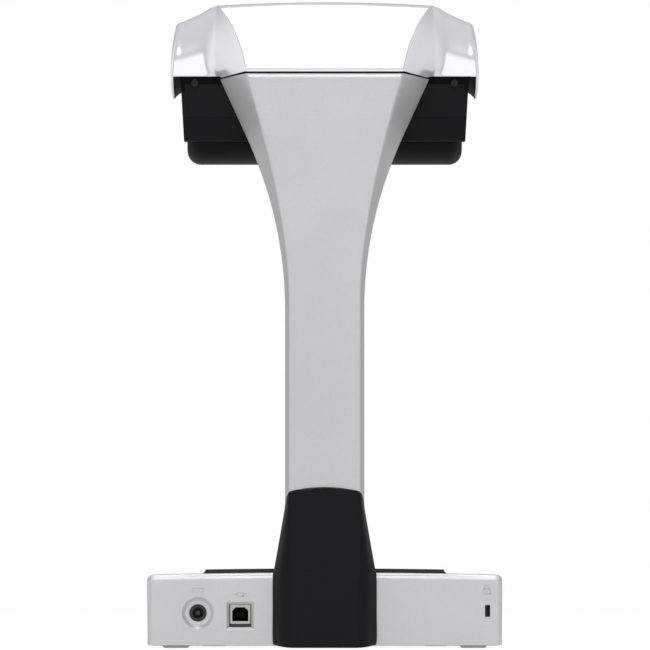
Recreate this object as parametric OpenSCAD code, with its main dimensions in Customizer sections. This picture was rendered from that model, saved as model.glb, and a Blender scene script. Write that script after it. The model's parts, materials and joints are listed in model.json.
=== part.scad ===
// Overhead book scanner: a weighted base, a flared arm and a head whose lens drum swings about a level axis.
// Millimetres. X is the width, -Y is the reader's side, +Y is the back with the sockets, Z = 0 is the desk.

/* [Overall] */
// Width of the base
base_w = 210; // [208:1:214]
// Depth from the front lip of the head to the back of the boot
total_d = 156; // [156:1:158]
// Height from the desk to the top of the head
total_h = 383; // [382:0.5:384]

/* [Base] */
// Height of the silver back bar
base_h = 44.6; // [44:0.2:45]
// Gap between the desk and the lower edge of the covers
base_gap = 1.8; // [1.6:0.1:2]
// Wall thickness of the base covers
base_wall = 2.4; // [2:0.2:2.6]
// Slope of the front deck, in degrees
deck_slope = 10; // [9:0.5:11]

/* [Arm] */
// Half width of the back panel of the arm, at its narrow part
arm_panel = 21.2; // [20:0.2:21.4]
// Half width of the whole arm, at its narrow part
arm_half = 23.5; // [23:0.1:23.8]
// Depth of the silver arm channel
arm_depth = 32; // [31:0.5:32.2]
// Wall thickness of the arm covers
arm_wall = 2.2; // [1.8:0.2:2.4]

/* [Head] */
// Half width of the hood at its lower edge
hood_half = 91.3; // [91:0.1:91.6]
// Wall thickness of the hood
hood_wall = 2; // [1.6:0.2:2.2]
// Half width of the black housing at its top
house_half = 84.5; // [84.5:0.1:85]

/* [Lens drum] */
// Radius of the drum
drum_r = 38; // [37.8:0.1:38.2]
// Half length of the drum
drum_half = 81.6; // [81.4:0.1:81.6]
// Radius of the drum's rounded ends
drum_round = 8; // [7:0.5:8.5]
// Height of the drum's axis
drum_z = 324.5; // [324.4:0.1:324.6]
// Lean of the view forward of straight down, at rest, in degrees
view_tilt = 12; // [11:1:13]

/* [Drive] */
// Gear module
gear_m = 0.8; // [0.8]
// Teeth of the motor pinion
pinion_teeth = 12; // [12]
// Teeth of the idler's large wheel
idler_big = 40; // [40]
// Teeth of the idler's small wheel
idler_small = 14; // [14]
// Teeth that the drum's sector would have on a full circle
sector_teeth = 75; // [75]

/* [Hidden] */
$fn = 48;

// ---- Places along the depth ----
back_y = total_d / 2;
front_y = -total_d / 2;
base_back_y = back_y - 12;
bar_front_y = base_back_y - 35;
base_front_y = base_back_y - 114;
front_half = base_w / 2 - 7;
head_back_y = back_y - 53.5;
house_back_y = head_back_y - 0.3;
drum_y = head_back_y - 46.5;
gap = 0.3;
eps = 0.01;

// ---- Points and outlines ----
function unit(v) = v / norm(v);
function bezier(p, t) =
  pow(1 - t, 3) * p[0] + 3 * pow(1 - t, 2) * t * p[1] + 3 * (1 - t) * t * t * p[2] + pow(t, 3) * p[3];
function fillet(a, p, b, r, n) =
  let (u = unit(a - p), w = unit(b - p), half = acos(u * w) / 2,
       c = p + unit(u + w) * r / sin(half), s = p + u * r / tan(half) - c, e = p + w * r / tan(half) - c,
       from = atan2(s.y, s.x), turn = atan2(e.y, e.x) - from,
       sweep = turn > 180 ? turn - 360 : turn < -180 ? turn + 360 : turn)
  [for (i = [0:n]) c + r * [cos(from + sweep * i / n), sin(from + sweep * i / n)]];
// An outline whose corner i is rounded to radii[i].
function rounded(pts, radii, n = 5) =
  let (m = len(pts))
  [for (i = [0:m - 1])
    each radii[i] > 0 ? fillet(pts[(i + m - 1) % m], pts[i], pts[(i + 1) % m], radii[i], n) : [pts[i]]];

module along_x(half) rotate([90, 0, 90]) linear_extrude(2 * half, center = true) children();
module slab(x, y, z) translate([x[0], y[0], z[0]]) cube([x[1] - x[0], y[1] - y[0], z[1] - z[0]]);
module rod_x(r, x) translate([x[0], 0, 0]) rotate([0, 90, 0]) cylinder(r = r, h = x[1] - x[0]);
module tube_x(r_out, r_in, x) difference() {
  rod_x(r_out, x);
  rod_x(r_in, [x[0] - 1, x[1] + 1]);
}
module both_sides() {
  children();
  mirror([1, 0, 0]) children();
}

// ---- Shells: a grid of points given a thickness ----
function clamp(i, n) = max(0, min(n - 1, i));
function grid_normal(g, i, j) =
  let (ni = len(g), nj = len(g[0]),
       di = g[clamp(i + 1, ni)][j] - g[clamp(i - 1, ni)][j],
       dj = g[i][clamp(j + 1, nj)] - g[i][clamp(j - 1, nj)])
  unit(cross(di, dj));
function quad(a, b, c, d) = [[a, b, c], [a, c, d]];
module thick_grid(g, t) {
  ni = len(g);
  nj = len(g[0]);
  count = ni * nj;
  outer = [for (i = [0:ni - 1]) each g[i]];
  inner = [for (i = [0:ni - 1]) for (j = [0:nj - 1]) g[i][j] - t * grid_normal(g, i, j)];
  function at(i, j) = i * nj + j;
  skins = [for (i = [0:ni - 2]) for (j = [0:nj - 2])
    let (a = at(i, j), b = at(i + 1, j), c = at(i + 1, j + 1), d = at(i, j + 1))
    each concat(quad(a, d, c, b), quad(a + count, b + count, c + count, d + count))];
  sides = [for (i = [0:ni - 2])
    let (a = at(i, 0), b = at(i + 1, 0), d = at(i, nj - 1), c = at(i + 1, nj - 1))
    each concat(quad(a, b, b + count, a + count), quad(c, d, d + count, c + count))];
  ends = [for (j = [0:nj - 2])
    let (a = at(0, j), d = at(0, j + 1), b = at(ni - 1, j), c = at(ni - 1, j + 1))
    each concat(quad(d, a, a + count, d + count), quad(b, c, c + count, b + count))];
  polyhedron(points = concat(outer, inner), faces = concat(skins, sides, ends), convexity = 6);
}

// ---- Base ----
function base_outline(d) = rounded(
  [[base_w / 2 - d, base_back_y - d], [d - base_w / 2, base_back_y - d], [d - base_w / 2, bar_front_y],
   [d - front_half, base_front_y + d], [front_half - d, base_front_y + d], [base_w / 2 - d, bar_front_y]],
  [3, 3, 0, 18, 18, 0]);
deck_back_z = base_h - 0.4;
deck_edge_y = base_front_y + 4;
function deck_z(y) = deck_back_z - (bar_front_y - y) * tan(deck_slope);
tray_z = base_gap - 0.2;
floor_t = 2.4;
weight_z = [tray_z + floor_t, tray_z + floor_t + 6];
board_z = [12.3, 13.9];
foot_spots = [[88, 50], [-88, 50], [66, -34], [-66, -34]];
screw_spots = [[96, 38], [-96, 38], [84, -37], [-84, -37]];
boss_r = 3.6;
boss_bore_r = 1.5;

module bar_profile(d) polygon(rounded(
  [[base_back_y - d, base_gap - 2 * d], [base_back_y - d, base_h - d],
   [bar_front_y - 2 * d, base_h - d], [bar_front_y - 2 * d, base_gap - 2 * d]],
  [0, 5 - d / 2, 0, 0], 8));
module deck_profile(d) polygon(rounded(
  [[bar_front_y + 2 * d - gap, base_gap - 2 * d],
   [bar_front_y + 2 * d - gap, deck_z(bar_front_y + 2 * d - gap) - d],
   [deck_edge_y, deck_z(deck_edge_y) - d], [base_front_y + d, deck_z(deck_edge_y) - 6],
   [base_front_y + d, base_gap - 2 * d]],
  [0, 0, 4, 4, 0], 6));
module plan(d, z) translate([0, 0, z[0]]) linear_extrude(z[1] - z[0]) polygon(base_outline(d));

module base_tray() color("#1b1b1e") difference() {
  union() {
    plan(base_wall + gap, [tray_z, tray_z + floor_t]);
    for (p = screw_spots) translate([p.x, p.y, tray_z]) cylinder(r = boss_r, h = 5);
  }
  for (p = foot_spots) translate([p.x, p.y, tray_z - 1]) cylinder(r = 8, h = 2);
  for (p = screw_spots) translate([p.x, p.y, 0]) {
    cylinder(r = 1.7, h = 20);
    cylinder(r = 3, h = tray_z + 2);
  }
}
weight_plan = rounded([[82, 60], [-82, 60], [-82, -36], [82, -36]], [4, 4, 10, 10]);
bolt_spots = [[34, 38], [-34, 38], [34, 56], [-34, 56]];
module base_weight() color("#8b8d90") difference() {
  translate([0, 0, weight_z[0]]) linear_extrude(6) polygon(weight_plan);
  for (p = bolt_spots) translate([p.x, p.y, 0]) cylinder(r = 2, h = 30);
  for (p = foot_spots) translate([p.x, p.y, 0]) cylinder(r = 10, h = 30);
}
module rubber_feet() color("#2a2a2c") for (p = foot_spots) translate([p.x, p.y, 0]) {
  cylinder(r1 = 7, r2 = 7.8, h = 0.8);
  translate([0, 0, 0.8]) cylinder(r = 7.8, h = tray_z + 0.2);
}
module base_screws() color("#b9bbbd") for (p = screw_spots) translate([p.x, p.y, tray_z]) difference() {
  union() {
    translate([0, 0, 0.2]) cylinder(r = 2.7, h = 1.8);
    cylinder(r = 1.4, h = 12);
  }
  translate([0, 0, -1]) cylinder(r = 1.2, h = 2, $fn = 6);
}

// ---- Sockets in the back wall ----
jack = [74.9, 21];
usb = [49.9, 20.2];
usb_open = [13, 13.4];
usb_open_z = 19.3;
lock_slot = [-96.3, 22.2];
wall_y = base_back_y - base_wall;
module at_back(p, y) translate([p[0], y, p[1]]) rotate([90, 0, 0]) children();
module centred(w, h, d) translate([0, 0, d / 2]) cube([w, h, d], center = true);
module bevel_frame(w, h, rim, depth) hull() {
  translate([0, 0, -eps]) linear_extrude(eps) square([w + 2 * rim, h + 2 * rim], center = true);
  translate([0, 0, depth]) linear_extrude(eps) square([w, h], center = true);
}
module socket_cuts() {
  at_back(jack, base_back_y + eps) cylinder(r1 = 9.5, r2 = 6.8, h = 2.6);
  at_back(jack, base_back_y + eps) cylinder(r = 5.1, h = 8);
  at_back([usb[0], usb_open_z], base_back_y + eps) bevel_frame(usb_open.x, usb_open.y, 1.6, 1.6);
  at_back([usb[0], usb_open_z], base_back_y + eps) centred(usb_open.x, usb_open.y, 8);
  at_back(lock_slot, base_back_y + eps) centred(3, 7, 8);
}
module boss(p, top) translate([p.x, p.y, tray_z + 5]) cylinder(r = boss_r, h = top - tray_z - 5);
module boss_bore(p) translate([p.x, p.y, 0]) cylinder(r = boss_bore_r, h = tray_z + 14);

module base_rear_cover() color("#c3c4c8") difference() {
  union() {
    difference() {
      intersection() {
        along_x(base_w) bar_profile(0);
        plan(0, [0, base_h + 1]);
      }
      intersection() {
        along_x(base_w) bar_profile(base_wall);
        plan(base_wall, [-5, base_h]);
      }
    }
    at_back(jack, wall_y + eps) cylinder(r = 9, h = 2);
    for (i = [0:1]) boss(screw_spots[i], base_h - base_wall / 2);
  }
  socket_cuts();
  slab([-24.6, 24.6], [bar_front_y - 3, base_back_y - 1], [30, base_h + 5]);
  for (i = [0:1]) boss_bore(screw_spots[i]);
}

// ---- Front deck with its raised island and the two buttons ----
button_x = 74;
button_y = -22;
button_len = 26;
button_wide = 12;
press_travel = 0.8;
lamp_x = 50;
module on_deck(x, y) translate([x, y, deck_z(y)]) rotate([deck_slope, 0, 0]) children();
module pill(len, wide, z) translate([0, 0, z[0]]) linear_extrude(z[1] - z[0]) {
  square([len - wide, wide], center = true);
  for (s = [-1, 1]) translate([s * (len - wide) / 2, 0]) circle(d = wide);
}
island_back = 72.5;
island_front = 54;
island_y = [-14, bar_front_y - gap];
island_rise = 2.8;
module island() intersection() {
  along_x(island_back) polygon([
    [island_y[1], deck_z(island_y[1]) - base_wall], [island_y[1], deck_z(island_y[1]) + island_rise],
    [island_y[0] + 3, deck_z(island_y[0]) + island_rise], [island_y[0], deck_z(island_y[0])],
    [island_y[0], deck_z(island_y[0]) - base_wall]]);
  rotate([90, 0, 0]) translate([0, 0, -island_y[1] - 1]) linear_extrude(60) polygon([
    [-island_back, 20], [-island_back, deck_back_z], [1.8 - island_back, deck_back_z + 2],
    [-30, total_h], [30, total_h],
    [island_back - 1.8, deck_back_z + 2], [island_back, deck_back_z], [island_back, 20]]);
  linear_extrude(60) polygon([
    [-island_back, island_y[1]], [-island_front, island_y[0]], [island_front, island_y[0]],
    [island_back, island_y[1]]]);
}
module base_front_cover() color("#232226") difference() {
  union() {
    difference() {
      intersection() {
        along_x(base_w) deck_profile(0);
        plan(0, [0, base_h + 1]);
      }
      intersection() {
        along_x(base_w) deck_profile(base_wall);
        plan(base_wall, [-5, base_h]);
      }
    }
    island();
    for (i = [2:3]) boss(screw_spots[i], deck_z(screw_spots[i].y) - 1);
  }
  slab([-24.6, 24.6], [bar_front_y - 7, bar_front_y + 5], [30, base_h + 9]);
  for (s = [-1, 1]) on_deck(s * button_x, button_y) pill(button_len + 0.8, button_wide + 0.8, [-4, 4]);
  on_deck(lamp_x, button_y) translate([0, 0, -4]) cylinder(r = 1.3, h = 8);
  for (i = [2:3]) boss_bore(screw_spots[i]);
}
// The cap stands 1.2 proud, its flange rests under the deck, and its stem reaches to the switch.
stem_end = -9;
module button() {
  pill(button_len, button_wide, [-base_wall - 1, 1.2]);
  pill(button_len + 4, button_wide + 4, [-base_wall - 1.6, -base_wall - 0.1]);
  translate([0, 0, stem_end]) cylinder(r = 2.5, h = 7);
}
module scan_button() color("#35353a") on_deck(button_x, button_y) button();
module stop_button() color("#35353a") on_deck(-button_x, button_y) button();
switch_top = stem_end - press_travel - 0.2;
module tact_switches() color("#3a3a3e") for (s = [-1, 1]) on_deck(s * button_x, button_y) {
  translate([0, 0, switch_top - 1.5]) cylinder(r = 1.7, h = 1.5);
  translate([-3, -3, switch_top - 5]) cube([6, 6, 3.5]);
}
module button_boards() color("#1f5a3a") for (s = [-1, 1]) on_deck(s * button_x, button_y)
  translate([-15, -9, switch_top - 6.6]) cube([30, 18, 1.6]);
module power_lamp() color("#bcd6ff") on_deck(lamp_x, button_y) {
  translate([0, 0, -8]) cylinder(r = 1.2, h = 8.3);
  translate([0, 0, -5]) cylinder(r = 2.2, h = 4.8 - base_wall);
}

// ---- Electronics in the base ----
spacer_spots = [[46, -8], [76, -8], [46, 34], [76, 34]];
module main_board() color("#1f5a3a") difference() {
  slab([41, 97], [-12, 59], board_z);
  for (p = spacer_spots) translate([p.x, p.y, 0]) cylinder(r = 1.6, h = 30);
  translate([screw_spots[0].x, screw_spots[0].y, 0]) cylinder(r = boss_r + 1, h = 30);
}
module board_spacers() color("#c8a24a") for (p = spacer_spots) translate([p.x, p.y, weight_z[1]]) {
  cylinder(r = 3, h = board_z[0] - weight_z[1]);
  cylinder(r = 1.5, h = board_z[1] - weight_z[1] + 0.6);
}
module heat_sink() color("#6d6f73") {
  slab([52, 78], [2, 28], [board_z[1], board_z[1] + 3]);
  for (i = [0:6]) slab([52 + 4 * i, 54 + 4 * i], [2, 28], [board_z[1] + 3, board_z[1] + 11]);
}
jack_front_y = wall_y - 2.3;
module dc_jack() color("#141416") difference() {
  union() {
    slab([jack[0] - 7, jack[0] + 7], [jack_front_y - 13, jack_front_y], [board_z[1], 28.4]);
    at_back(jack, base_back_y - 2.9) cylinder(r = 5, h = 4);
  }
  at_back(jack, base_back_y) cylinder(r = 3.2, h = 12.4);
}
module dc_pin() color("#d0d0d2") at_back(jack, base_back_y - 3.6) cylinder(r = 1.25, h = 8.8);
module usb_outline(w, h, c) polygon([
  [-w / 2, -h / 2], [w / 2, -h / 2], [w / 2, h / 2 - c], [w / 2 - c, h / 2], [c - w / 2, h / 2],
  [-w / 2, h / 2 - c]]);
module usb_port() color("#c9c8c0") at_back(usb, wall_y - 0.3) difference() {
  linear_extrude(16) square([12, 11.4], center = true);
  translate([0, 0, -eps]) linear_extrude(9) usb_outline(9.4, 8.2, 2);
  translate([0, 0, 8]) linear_extrude(9) square([11, 10.4], center = true);
}
module usb_tongue() color("#161618") at_back(usb, wall_y - 0.9) {
  translate([0, 0, 8.5]) linear_extrude(6.6) square([10.8, 10.2], center = true);
  translate([0, -0.3, 0]) linear_extrude(9) square([5.6, 3.2], center = true);
}
module lock_plate() color("#9a9ca0") at_back(lock_slot, wall_y - 0.1) difference() {
  translate([2.6, 0, 0]) centred(11.4, 18, 1.6);
  translate([0, 0, -1]) centred(3, 7, 4);
}

// ---- Arm ----
arm_foot_z = base_h + 0.4;
seam_z = total_h - 41.6;
seam_gap = 1;
bow_z = 150;
function arm_back(z) = back_y - 11 - pow(z - bow_z, 2) / 3800;
function arm_front(z) = arm_back(z) - arm_depth;
flare_z = 200;
flare_r = 240;
flare_angle = 22.7;
// The outer edge leaves the straight part on an arc and ends on its tangent.
function arm_edge(z) =
  let (h = z - flare_z, bend = flare_r * sin(flare_angle))
  h <= 0 ? arm_half
  : h < bend ? arm_half + flare_r - sqrt(flare_r * flare_r - h * h)
  : arm_half + flare_r * (1 - cos(flare_angle)) + (h - bend) * tan(flare_angle);
crease_z = 196;
crease_r = 430;
function arm_crease(z) =
  z <= crease_z ? arm_panel : arm_panel + crease_r - sqrt(crease_r * crease_r - pow(z - crease_z, 2));
// The top seam drops towards the front.
seam_drop = 3.7;
function seam_cut(z, y) =
  z - seam_drop * max(0, (z - 300) / (seam_z - 300)) * (arm_back(z) - y) / arm_depth;
function arm_levels(foot, top) = concat(
  [foot, 120, bow_z], [for (i = [0:19]) crease_z + (top - crease_z) * i / 19]);
function lift(p, z) = [p.x, p.y, seam_cut(z, p.y)];
// The boot and the arm meet in an arch, highest in the middle of the back.
boot_top = 92.3;
boot_crown = 2.6;
function arch(x) = boot_crown * max(0, 1 - pow(x / arm_panel, 2));
module arm_rear_cover() color("#c6c7cb") thick_grid(
  [for (z = arm_levels(boot_top + gap, seam_z - seam_gap))
    let (e = arm_edge(z), c = arm_crease(z), b = arm_back(z), f = arm_front(z), low = z < boot_top + 1,
         half = [[0, b], [c / 2, b], [c, b], [(e + c) / 2, (b + f) / 2], [e, f]])
    [for (k = [-4:4]) let (p = half[abs(k)])
      lift([sign(k) * p.x, p.y], z + (low ? arch(p.x) : 0))]],
  arm_wall);
lid_depth = 5;
module arm_front_cover() color("#1d1c20") thick_grid(
  [for (z = arm_levels(arm_foot_z, 299.6))
    let (e = arm_edge(z) - 0.2, f = arm_front(z) - 0.9)
    [[e, f, z], [e, f - 1.4, z], [e - 3.5, f - lid_depth, z],
     [3.5 - e, f - lid_depth, z], [-e, f - 1.4, z], [-e, f, z]]],
  2);

// The boot covers the joint of the arm and the base. Each level is [z, half width of the back
// face, half width of the boot, y of the back face, y where the side facet ends].
boot_levels = [
  [0.4, 18.9, 30.2, back_y - 0.9, base_back_y + 1.2],
  [1.6, 19.5, 30.8, back_y - 0.3, base_back_y + 1.2],
  [24, 20, 30.8, back_y - 0.3, base_back_y + 1.2],
  [40, 21, 30.8, back_y - 1.1, base_back_y + 1.2],
  [45, 21.5, 30.6, back_y - 1.9, base_back_y + 1.2],
  [50, 21.6, 29.7, back_y - 2.9, base_back_y + 0.2],
  [66, 21.6, 27.1, back_y - 6.1, base_back_y - 2],
  [85, 21.4, 24.2, back_y - 10, base_back_y - 5],
  [boot_top, 21, 23.7, back_y - 11.4, base_back_y - 6]];
boot_wall = 2;
function boot_half(k) = [[0, k[3] + 0.3], [k[1] / 2, k[3] + 0.2], [k[1], k[3]], [k[2], k[4]],
  [arm_half + 0.2, arm_front(k[0])]];
module arm_boot() color("#1f1e23") difference() {
  thick_grid(
    [for (k = boot_levels) [for (i = [-4:4]) let (p = boot_half(k)[abs(i)])
      [sign(i) * p.x, p.y, k[0] + (k[0] == boot_top ? arch(p.x) : 0)]]],
    boot_wall);
  slab([-40, 40], [20, base_back_y + 0.1], [-1, arm_foot_z]);
}

// ---- Steel frame in the arm ----
channel_y = [38, 54];
channel_half = 15;
plate = 2;
chassis_z = 336;
tongue_y = 46;
tongue_spots = [[18.5, 30], [-18.5, 30], [18.5, 42], [-18.5, 42]];
cable_y = [42, 50];
cable_x = 5;
module arm_frame() color("#a3a5a8") difference() {
  union() {
    slab([-40, 40], [33, 61], [weight_z[1], weight_z[1] + 3]);
    slab([-channel_half, channel_half], channel_y, [weight_z[1], chassis_z]);
    slab([-22, 22], [26, channel_y[1]], [chassis_z - plate, chassis_z]);
  }
  slab([plate - channel_half, channel_half - plate], [30, channel_y[1] - plate],
       [weight_z[1] + 3, chassis_z - plate]);
  slab([-10, 10], [34, channel_y[1] - plate], [chassis_z - 20, chassis_z + 1]);
  slab([0, channel_half + 1], [cable_y[0] - 1, cable_y[1] + 1], [weight_z[1] + 3, board_z[1] + 3]);
  for (p = bolt_spots) translate([p.x, p.y, 0]) cylinder(r = 2.2, h = 30);
  for (p = tongue_spots) translate([p.x, p.y, chassis_z - 5]) cylinder(r = 1.6, h = 10);
}
module arm_bolts() color("#c2c4c6") for (p = bolt_spots) translate([p.x, p.y, 0]) difference() {
  union() {
    translate([0, 0, weight_z[0] + 0.5]) cylinder(r = 1.95, h = 9);
    translate([0, 0, weight_z[1] + 3]) cylinder(r = 3.5, h = 3);
  }
  translate([0, 0, weight_z[1] + 4.4]) cylinder(r = 1.7, h = 5, $fn = 6);
}

module signal_cable() color("#dcdcd6") {
  slab([cable_x, 43], cable_y, [board_z[1] + 0.5, board_z[1] + 1.3]);
  slab([cable_x, cable_x + 0.8], cable_y, [board_z[1] + 0.5, 352]);
  slab([cable_x, cable_x + 0.8], [5, cable_y[1]], [343.5, 352]);
}

// ---- Hood: columns of points from the middle of the spine to the lip of the cheek ----
spine_rear = [[arm_back(seam_z), seam_z], [50, seam_z + 22.6], [28, total_h], [-4, total_h]];
spine_front = [[-4, total_h], [-36, total_h], [front_y + 4, total_h - 9], [front_y, total_h - 21]];
shoulder_rear = [[head_back_y, seam_z - 2.9], [head_back_y, seam_z + 18.6], [14, total_h - 7.6],
                 [-8, total_h - 7]];
shoulder_front = [[-8, total_h - 7], [-40, total_h - 6.5], [front_y + 10, total_h - 11],
                  [front_y + 0.6, total_h - 23.5]];
cheek_low = [[5, seam_z - 10], [1, seam_z - 14.6], [-2, seam_z - 14.4], [-44, seam_z - 13],
             [-56, seam_z - 12], [-60, seam_z - 5]];
function curve(rear, front, t) = t < 0.5 ? bezier(rear, 2 * t) : bezier(front, 2 * t - 1);
function shoulder(t) = curve(shoulder_rear, shoulder_front, t);
function shoulder_in(t, d) =
  let (a = shoulder(max(0, t - 0.01)), b = shoulder(min(1, t + 0.01)), u = unit(b - a))
  shoulder(t) + d * [-u.y, u.x];
function along(list, t) =
  let (s = t * (len(list) - 1), i = min(len(list) - 2, floor(s)))
  list[i] + (s - i) * (list[i + 1] - list[i]);
function spine_half(y) = y > 19 ? 46.9 + (arm_back(seam_z) - y) * 0.42 : 63 + (19 - y) * 0.03;
function rise(t) = min(1, 4 * t);
function hood_half_columns(t) =
  let (s = curve(spine_rear, spine_front, t), h = shoulder(t), c1 = shoulder_in(t, 3.4),
       c2 = shoulder_in(t, 8.6), c3 = shoulder_in(t, 16), low = along(cheek_low, t),
       w = spine_half(s.x))
  [[0, s.x, s.y], [w * 0.55, s.x, s.y - 0.3 * rise(t)], [w, s.x, s.y - rise(t)],
   [60.5 + 8 * rise(t) + 2.5 * t, h.x, h.y - 0.6 + 2.6 * rise(t)],
   [74 + 3 * t, h.x, h.y + 0.8 * rise(t)], [80, h.x, h.y],
   [86.2, c1.x, c1.y], [89.8, c2.x, c2.y], [hood_half - 0.5, c3.x, c3.y],
   [hood_half, low.x, low.y + 3], [hood_half - 1.2, low.x, low.y], [hood_half - 5, low.x, low.y + 0.8]];
function hood_row(t) =
  let (half = hood_half_columns(t), n = len(half))
  [for (k = [-(n - 1):n - 1]) let (p = half[abs(k)]) [sign(k) * p.x, p.y, p.z]];
hood_steps = 24;
module head_top_cover() color("#d3d4d8")
  thick_grid([for (i = [0:hood_steps]) hood_row(i / hood_steps)], hood_wall);

// ---- Black housing under the hood ----
house_z = [total_h - 82.7, seam_z - 4.4];
house_low_half = drum_half + 1.8;
house_wall = 1.5;
opening_half = 31.6;
function house_side(d) = [
  [house_back_y - d, house_z[1] + 2 * d], [house_back_y - d, house_z[0] + 14],
  [house_back_y - 2.5 - d, house_z[0] + d], [front_y + 17 + d, house_z[0] + d],
  [front_y + 5 + d, house_z[1] + 2 * d]];
function house_back(d) = [
  [house_half - d, house_z[1] + 9], [house_low_half - d, house_z[0] - 1],
  [d - house_low_half, house_z[0] - 1], [d - house_half, house_z[1] + 9]];
module house_block(d) intersection() {
  along_x(100) polygon(house_side(d));
  rotate([90, 0, 0]) linear_extrude(300, center = true) polygon(house_back(d));
}
head_screw = [77, 334.6];
module head_housing() color("#1a191d") difference() {
  house_block(0);
  house_block(house_wall);
  slab([-drum_half - 0.3, drum_half + 0.3], [drum_y - opening_half, drum_y + opening_half],
       [house_z[0] - 5, house_z[0] + 5]);
  slab([-26, 26], [house_back_y - 5, house_back_y + 1], [chassis_z - 4, chassis_z + 5]);
  both_sides() at_back(head_screw, house_back_y + 1) cylinder(r = 1.3, h = 9);
}
module front_visor() color("#101012") intersection() {
  along_x(80) polygon([
    [front_y + 16.6, house_z[0] + 1], [front_y + 4.6, house_z[1] + 1], [front_y + 3.4, house_z[1] + 18],
    [front_y + 1.2, house_z[1] + 18], [front_y + 2.2, house_z[1] + 1], [front_y + 14.2, house_z[0] + 1]]);
  rotate([90, 0, 0]) linear_extrude(300, center = true) polygon(rounded(
    [[78, house_z[1] + 18], [-78, house_z[1] + 18], [-80, house_z[0] + 1], [80, house_z[0] + 1]],
    [4, 4, 8, 8]));
}
module head_screws() color("#8f9194") both_sides() {
  at_back(head_screw, house_back_y + 1.3) cylinder(r = 2.1, h = 1.3);
  at_back(head_screw, house_back_y + 0.5) cylinder(r = 1.2, h = 11);
}

// ---- Chassis in the head ----
ear_x = [73, 75];
ear_half = 12;
bush_r = 6;
axle_r = 4;
run = 0.05;
tab_y = [14, 16];
gear_plane = [-68, -64];
wheel_plane = [-63, -59];
bracket_x = [-58, -56];
module chassis_ears() both_sides() difference() {
  union() {
    slab(ear_x, [drum_y - ear_half, drum_y + ear_half], [drum_z, chassis_z]);
    translate([0, drum_y, drum_z]) rod_x(ear_half, ear_x);
  }
  translate([0, drum_y, drum_z]) rod_x(bush_r, [60, 90]);
}
module head_chassis() color("#a9abad") difference() {
  union() {
    slab([-76, 76], [drum_y - 36, tab_y[1]], [chassis_z, chassis_z + plate]);
    slab([-24, 24], [tab_y[0], tongue_y], [chassis_z, chassis_z + plate]);
    both_sides() slab([70, 80], tab_y, [chassis_z - 4, chassis_z + plate]);
    chassis_ears();
  }
  slab([gear_plane[0] - 1, gear_plane[1] + 1], [drum_y - 30, drum_y + 30], [chassis_z - 1, chassis_z + 5]);
  slab([8, 28], [-8, 6], [chassis_z - 1, chassis_z + 5]);
  slab([cable_x - 2, cable_x + 3], [cable_y[0] - 2, cable_y[1]], [chassis_z - 1, chassis_z + 5]);
  for (p = tongue_spots) translate([p.x, p.y, chassis_z - 5]) cylinder(r = 1.6, h = 10);
  both_sides() at_back(head_screw, 30) cylinder(r = 1.2, h = 30);
}
module chassis_screws() color("#c2c4c6") for (p = tongue_spots) translate([p.x, p.y, 0]) {
  translate([0, 0, chassis_z - 6]) cylinder(r = 1.5, h = 9);
  translate([0, 0, chassis_z + plate]) cylinder(r = 2.8, h = 1.8);
}
head_board_z = [chassis_z + 5, chassis_z + 6.6];
post_spots = [[-24, -50], [46, -50], [-24, -12], [46, 10]];
module head_board() color("#1f5a3a") difference() {
  slab([-28, 50], [-54, 13], head_board_z);
  slab([-30, 20], [-6, 20], [head_board_z[0] - 1, head_board_z[1] + 1]);
  for (p = post_spots) translate([p.x, p.y, chassis_z]) cylinder(r = 1.6, h = 20);
}
module board_posts() color("#c8a24a") for (p = post_spots) translate([p.x, p.y, chassis_z + plate]) {
  cylinder(r = 2.8, h = head_board_z[0] - chassis_z - plate);
  cylinder(r = 1.5, h = head_board_z[1] - chassis_z - plate + 1);
}
module axle_bush() translate([0, drum_y, drum_z])
  tube_x(bush_r, axle_r + run, [ear_x[0] - 0.6, ear_x[1] + 0.6]);
module axle_bush_right() color("#d8c9a0") axle_bush();
module axle_bush_left() color("#d8c9a0") mirror([1, 0, 0]) axle_bush();

// ---- Gears: involute teeth, cut a little thin so that they run free ----
pressure = 25;
thinning = 0.12;
function pitch_r(n) = gear_m * n / 2;
function inv(a) = tan(a) - a * PI / 180;
function flank(n, r) =
  let (rb = pitch_r(n) * cos(pressure), a = acos(min(1, rb / r)))
  (PI * gear_m / 2 - thinning) / (2 * pitch_r(n)) + inv(pressure) - inv(a);
function polar(r, a) = [r * cos(a), r * sin(a)];
function tooth(n, a) =
  let (rp = pitch_r(n), rb = rp * cos(pressure), top = rp + 0.85 * gear_m, root = rp - 1.15 * gear_m,
       low = max(rb, root), rs = [for (i = [0:4]) low + (top - low) * i / 4])
  concat([polar(root, a - flank(n, low) * 180 / PI)],
         [for (r = rs) polar(r, a - flank(n, r) * 180 / PI)],
         [for (i = [4:-1:0]) polar(rs[i], a + flank(n, rs[i]) * 180 / PI)],
         [polar(root, a + flank(n, low) * 180 / PI)]);
module wheel(n, phase, x, bore) translate([x[0], 0, 0]) rotate([90, 0, 90]) linear_extrude(x[1] - x[0])
  difference() {
    polygon([for (k = [0:n - 1]) each tooth(n, phase + 360 * k / n)]);
    circle(r = bore);
  }
// The idler stands above and behind the drum's axis, and the pinion straight behind the idler.
idler_dir = 62;
idler_yz = [drum_y, drum_z] + polar(pitch_r(sector_teeth) + pitch_r(idler_small), idler_dir);
pinion_yz = idler_yz + polar(pitch_r(idler_big) + pitch_r(pinion_teeth), 0);
pin_r = 1.5;
shaft_r = 1;
motor_r = 15;
module at_yz(p) translate([0, p[0], p[1]]) children();

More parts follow.
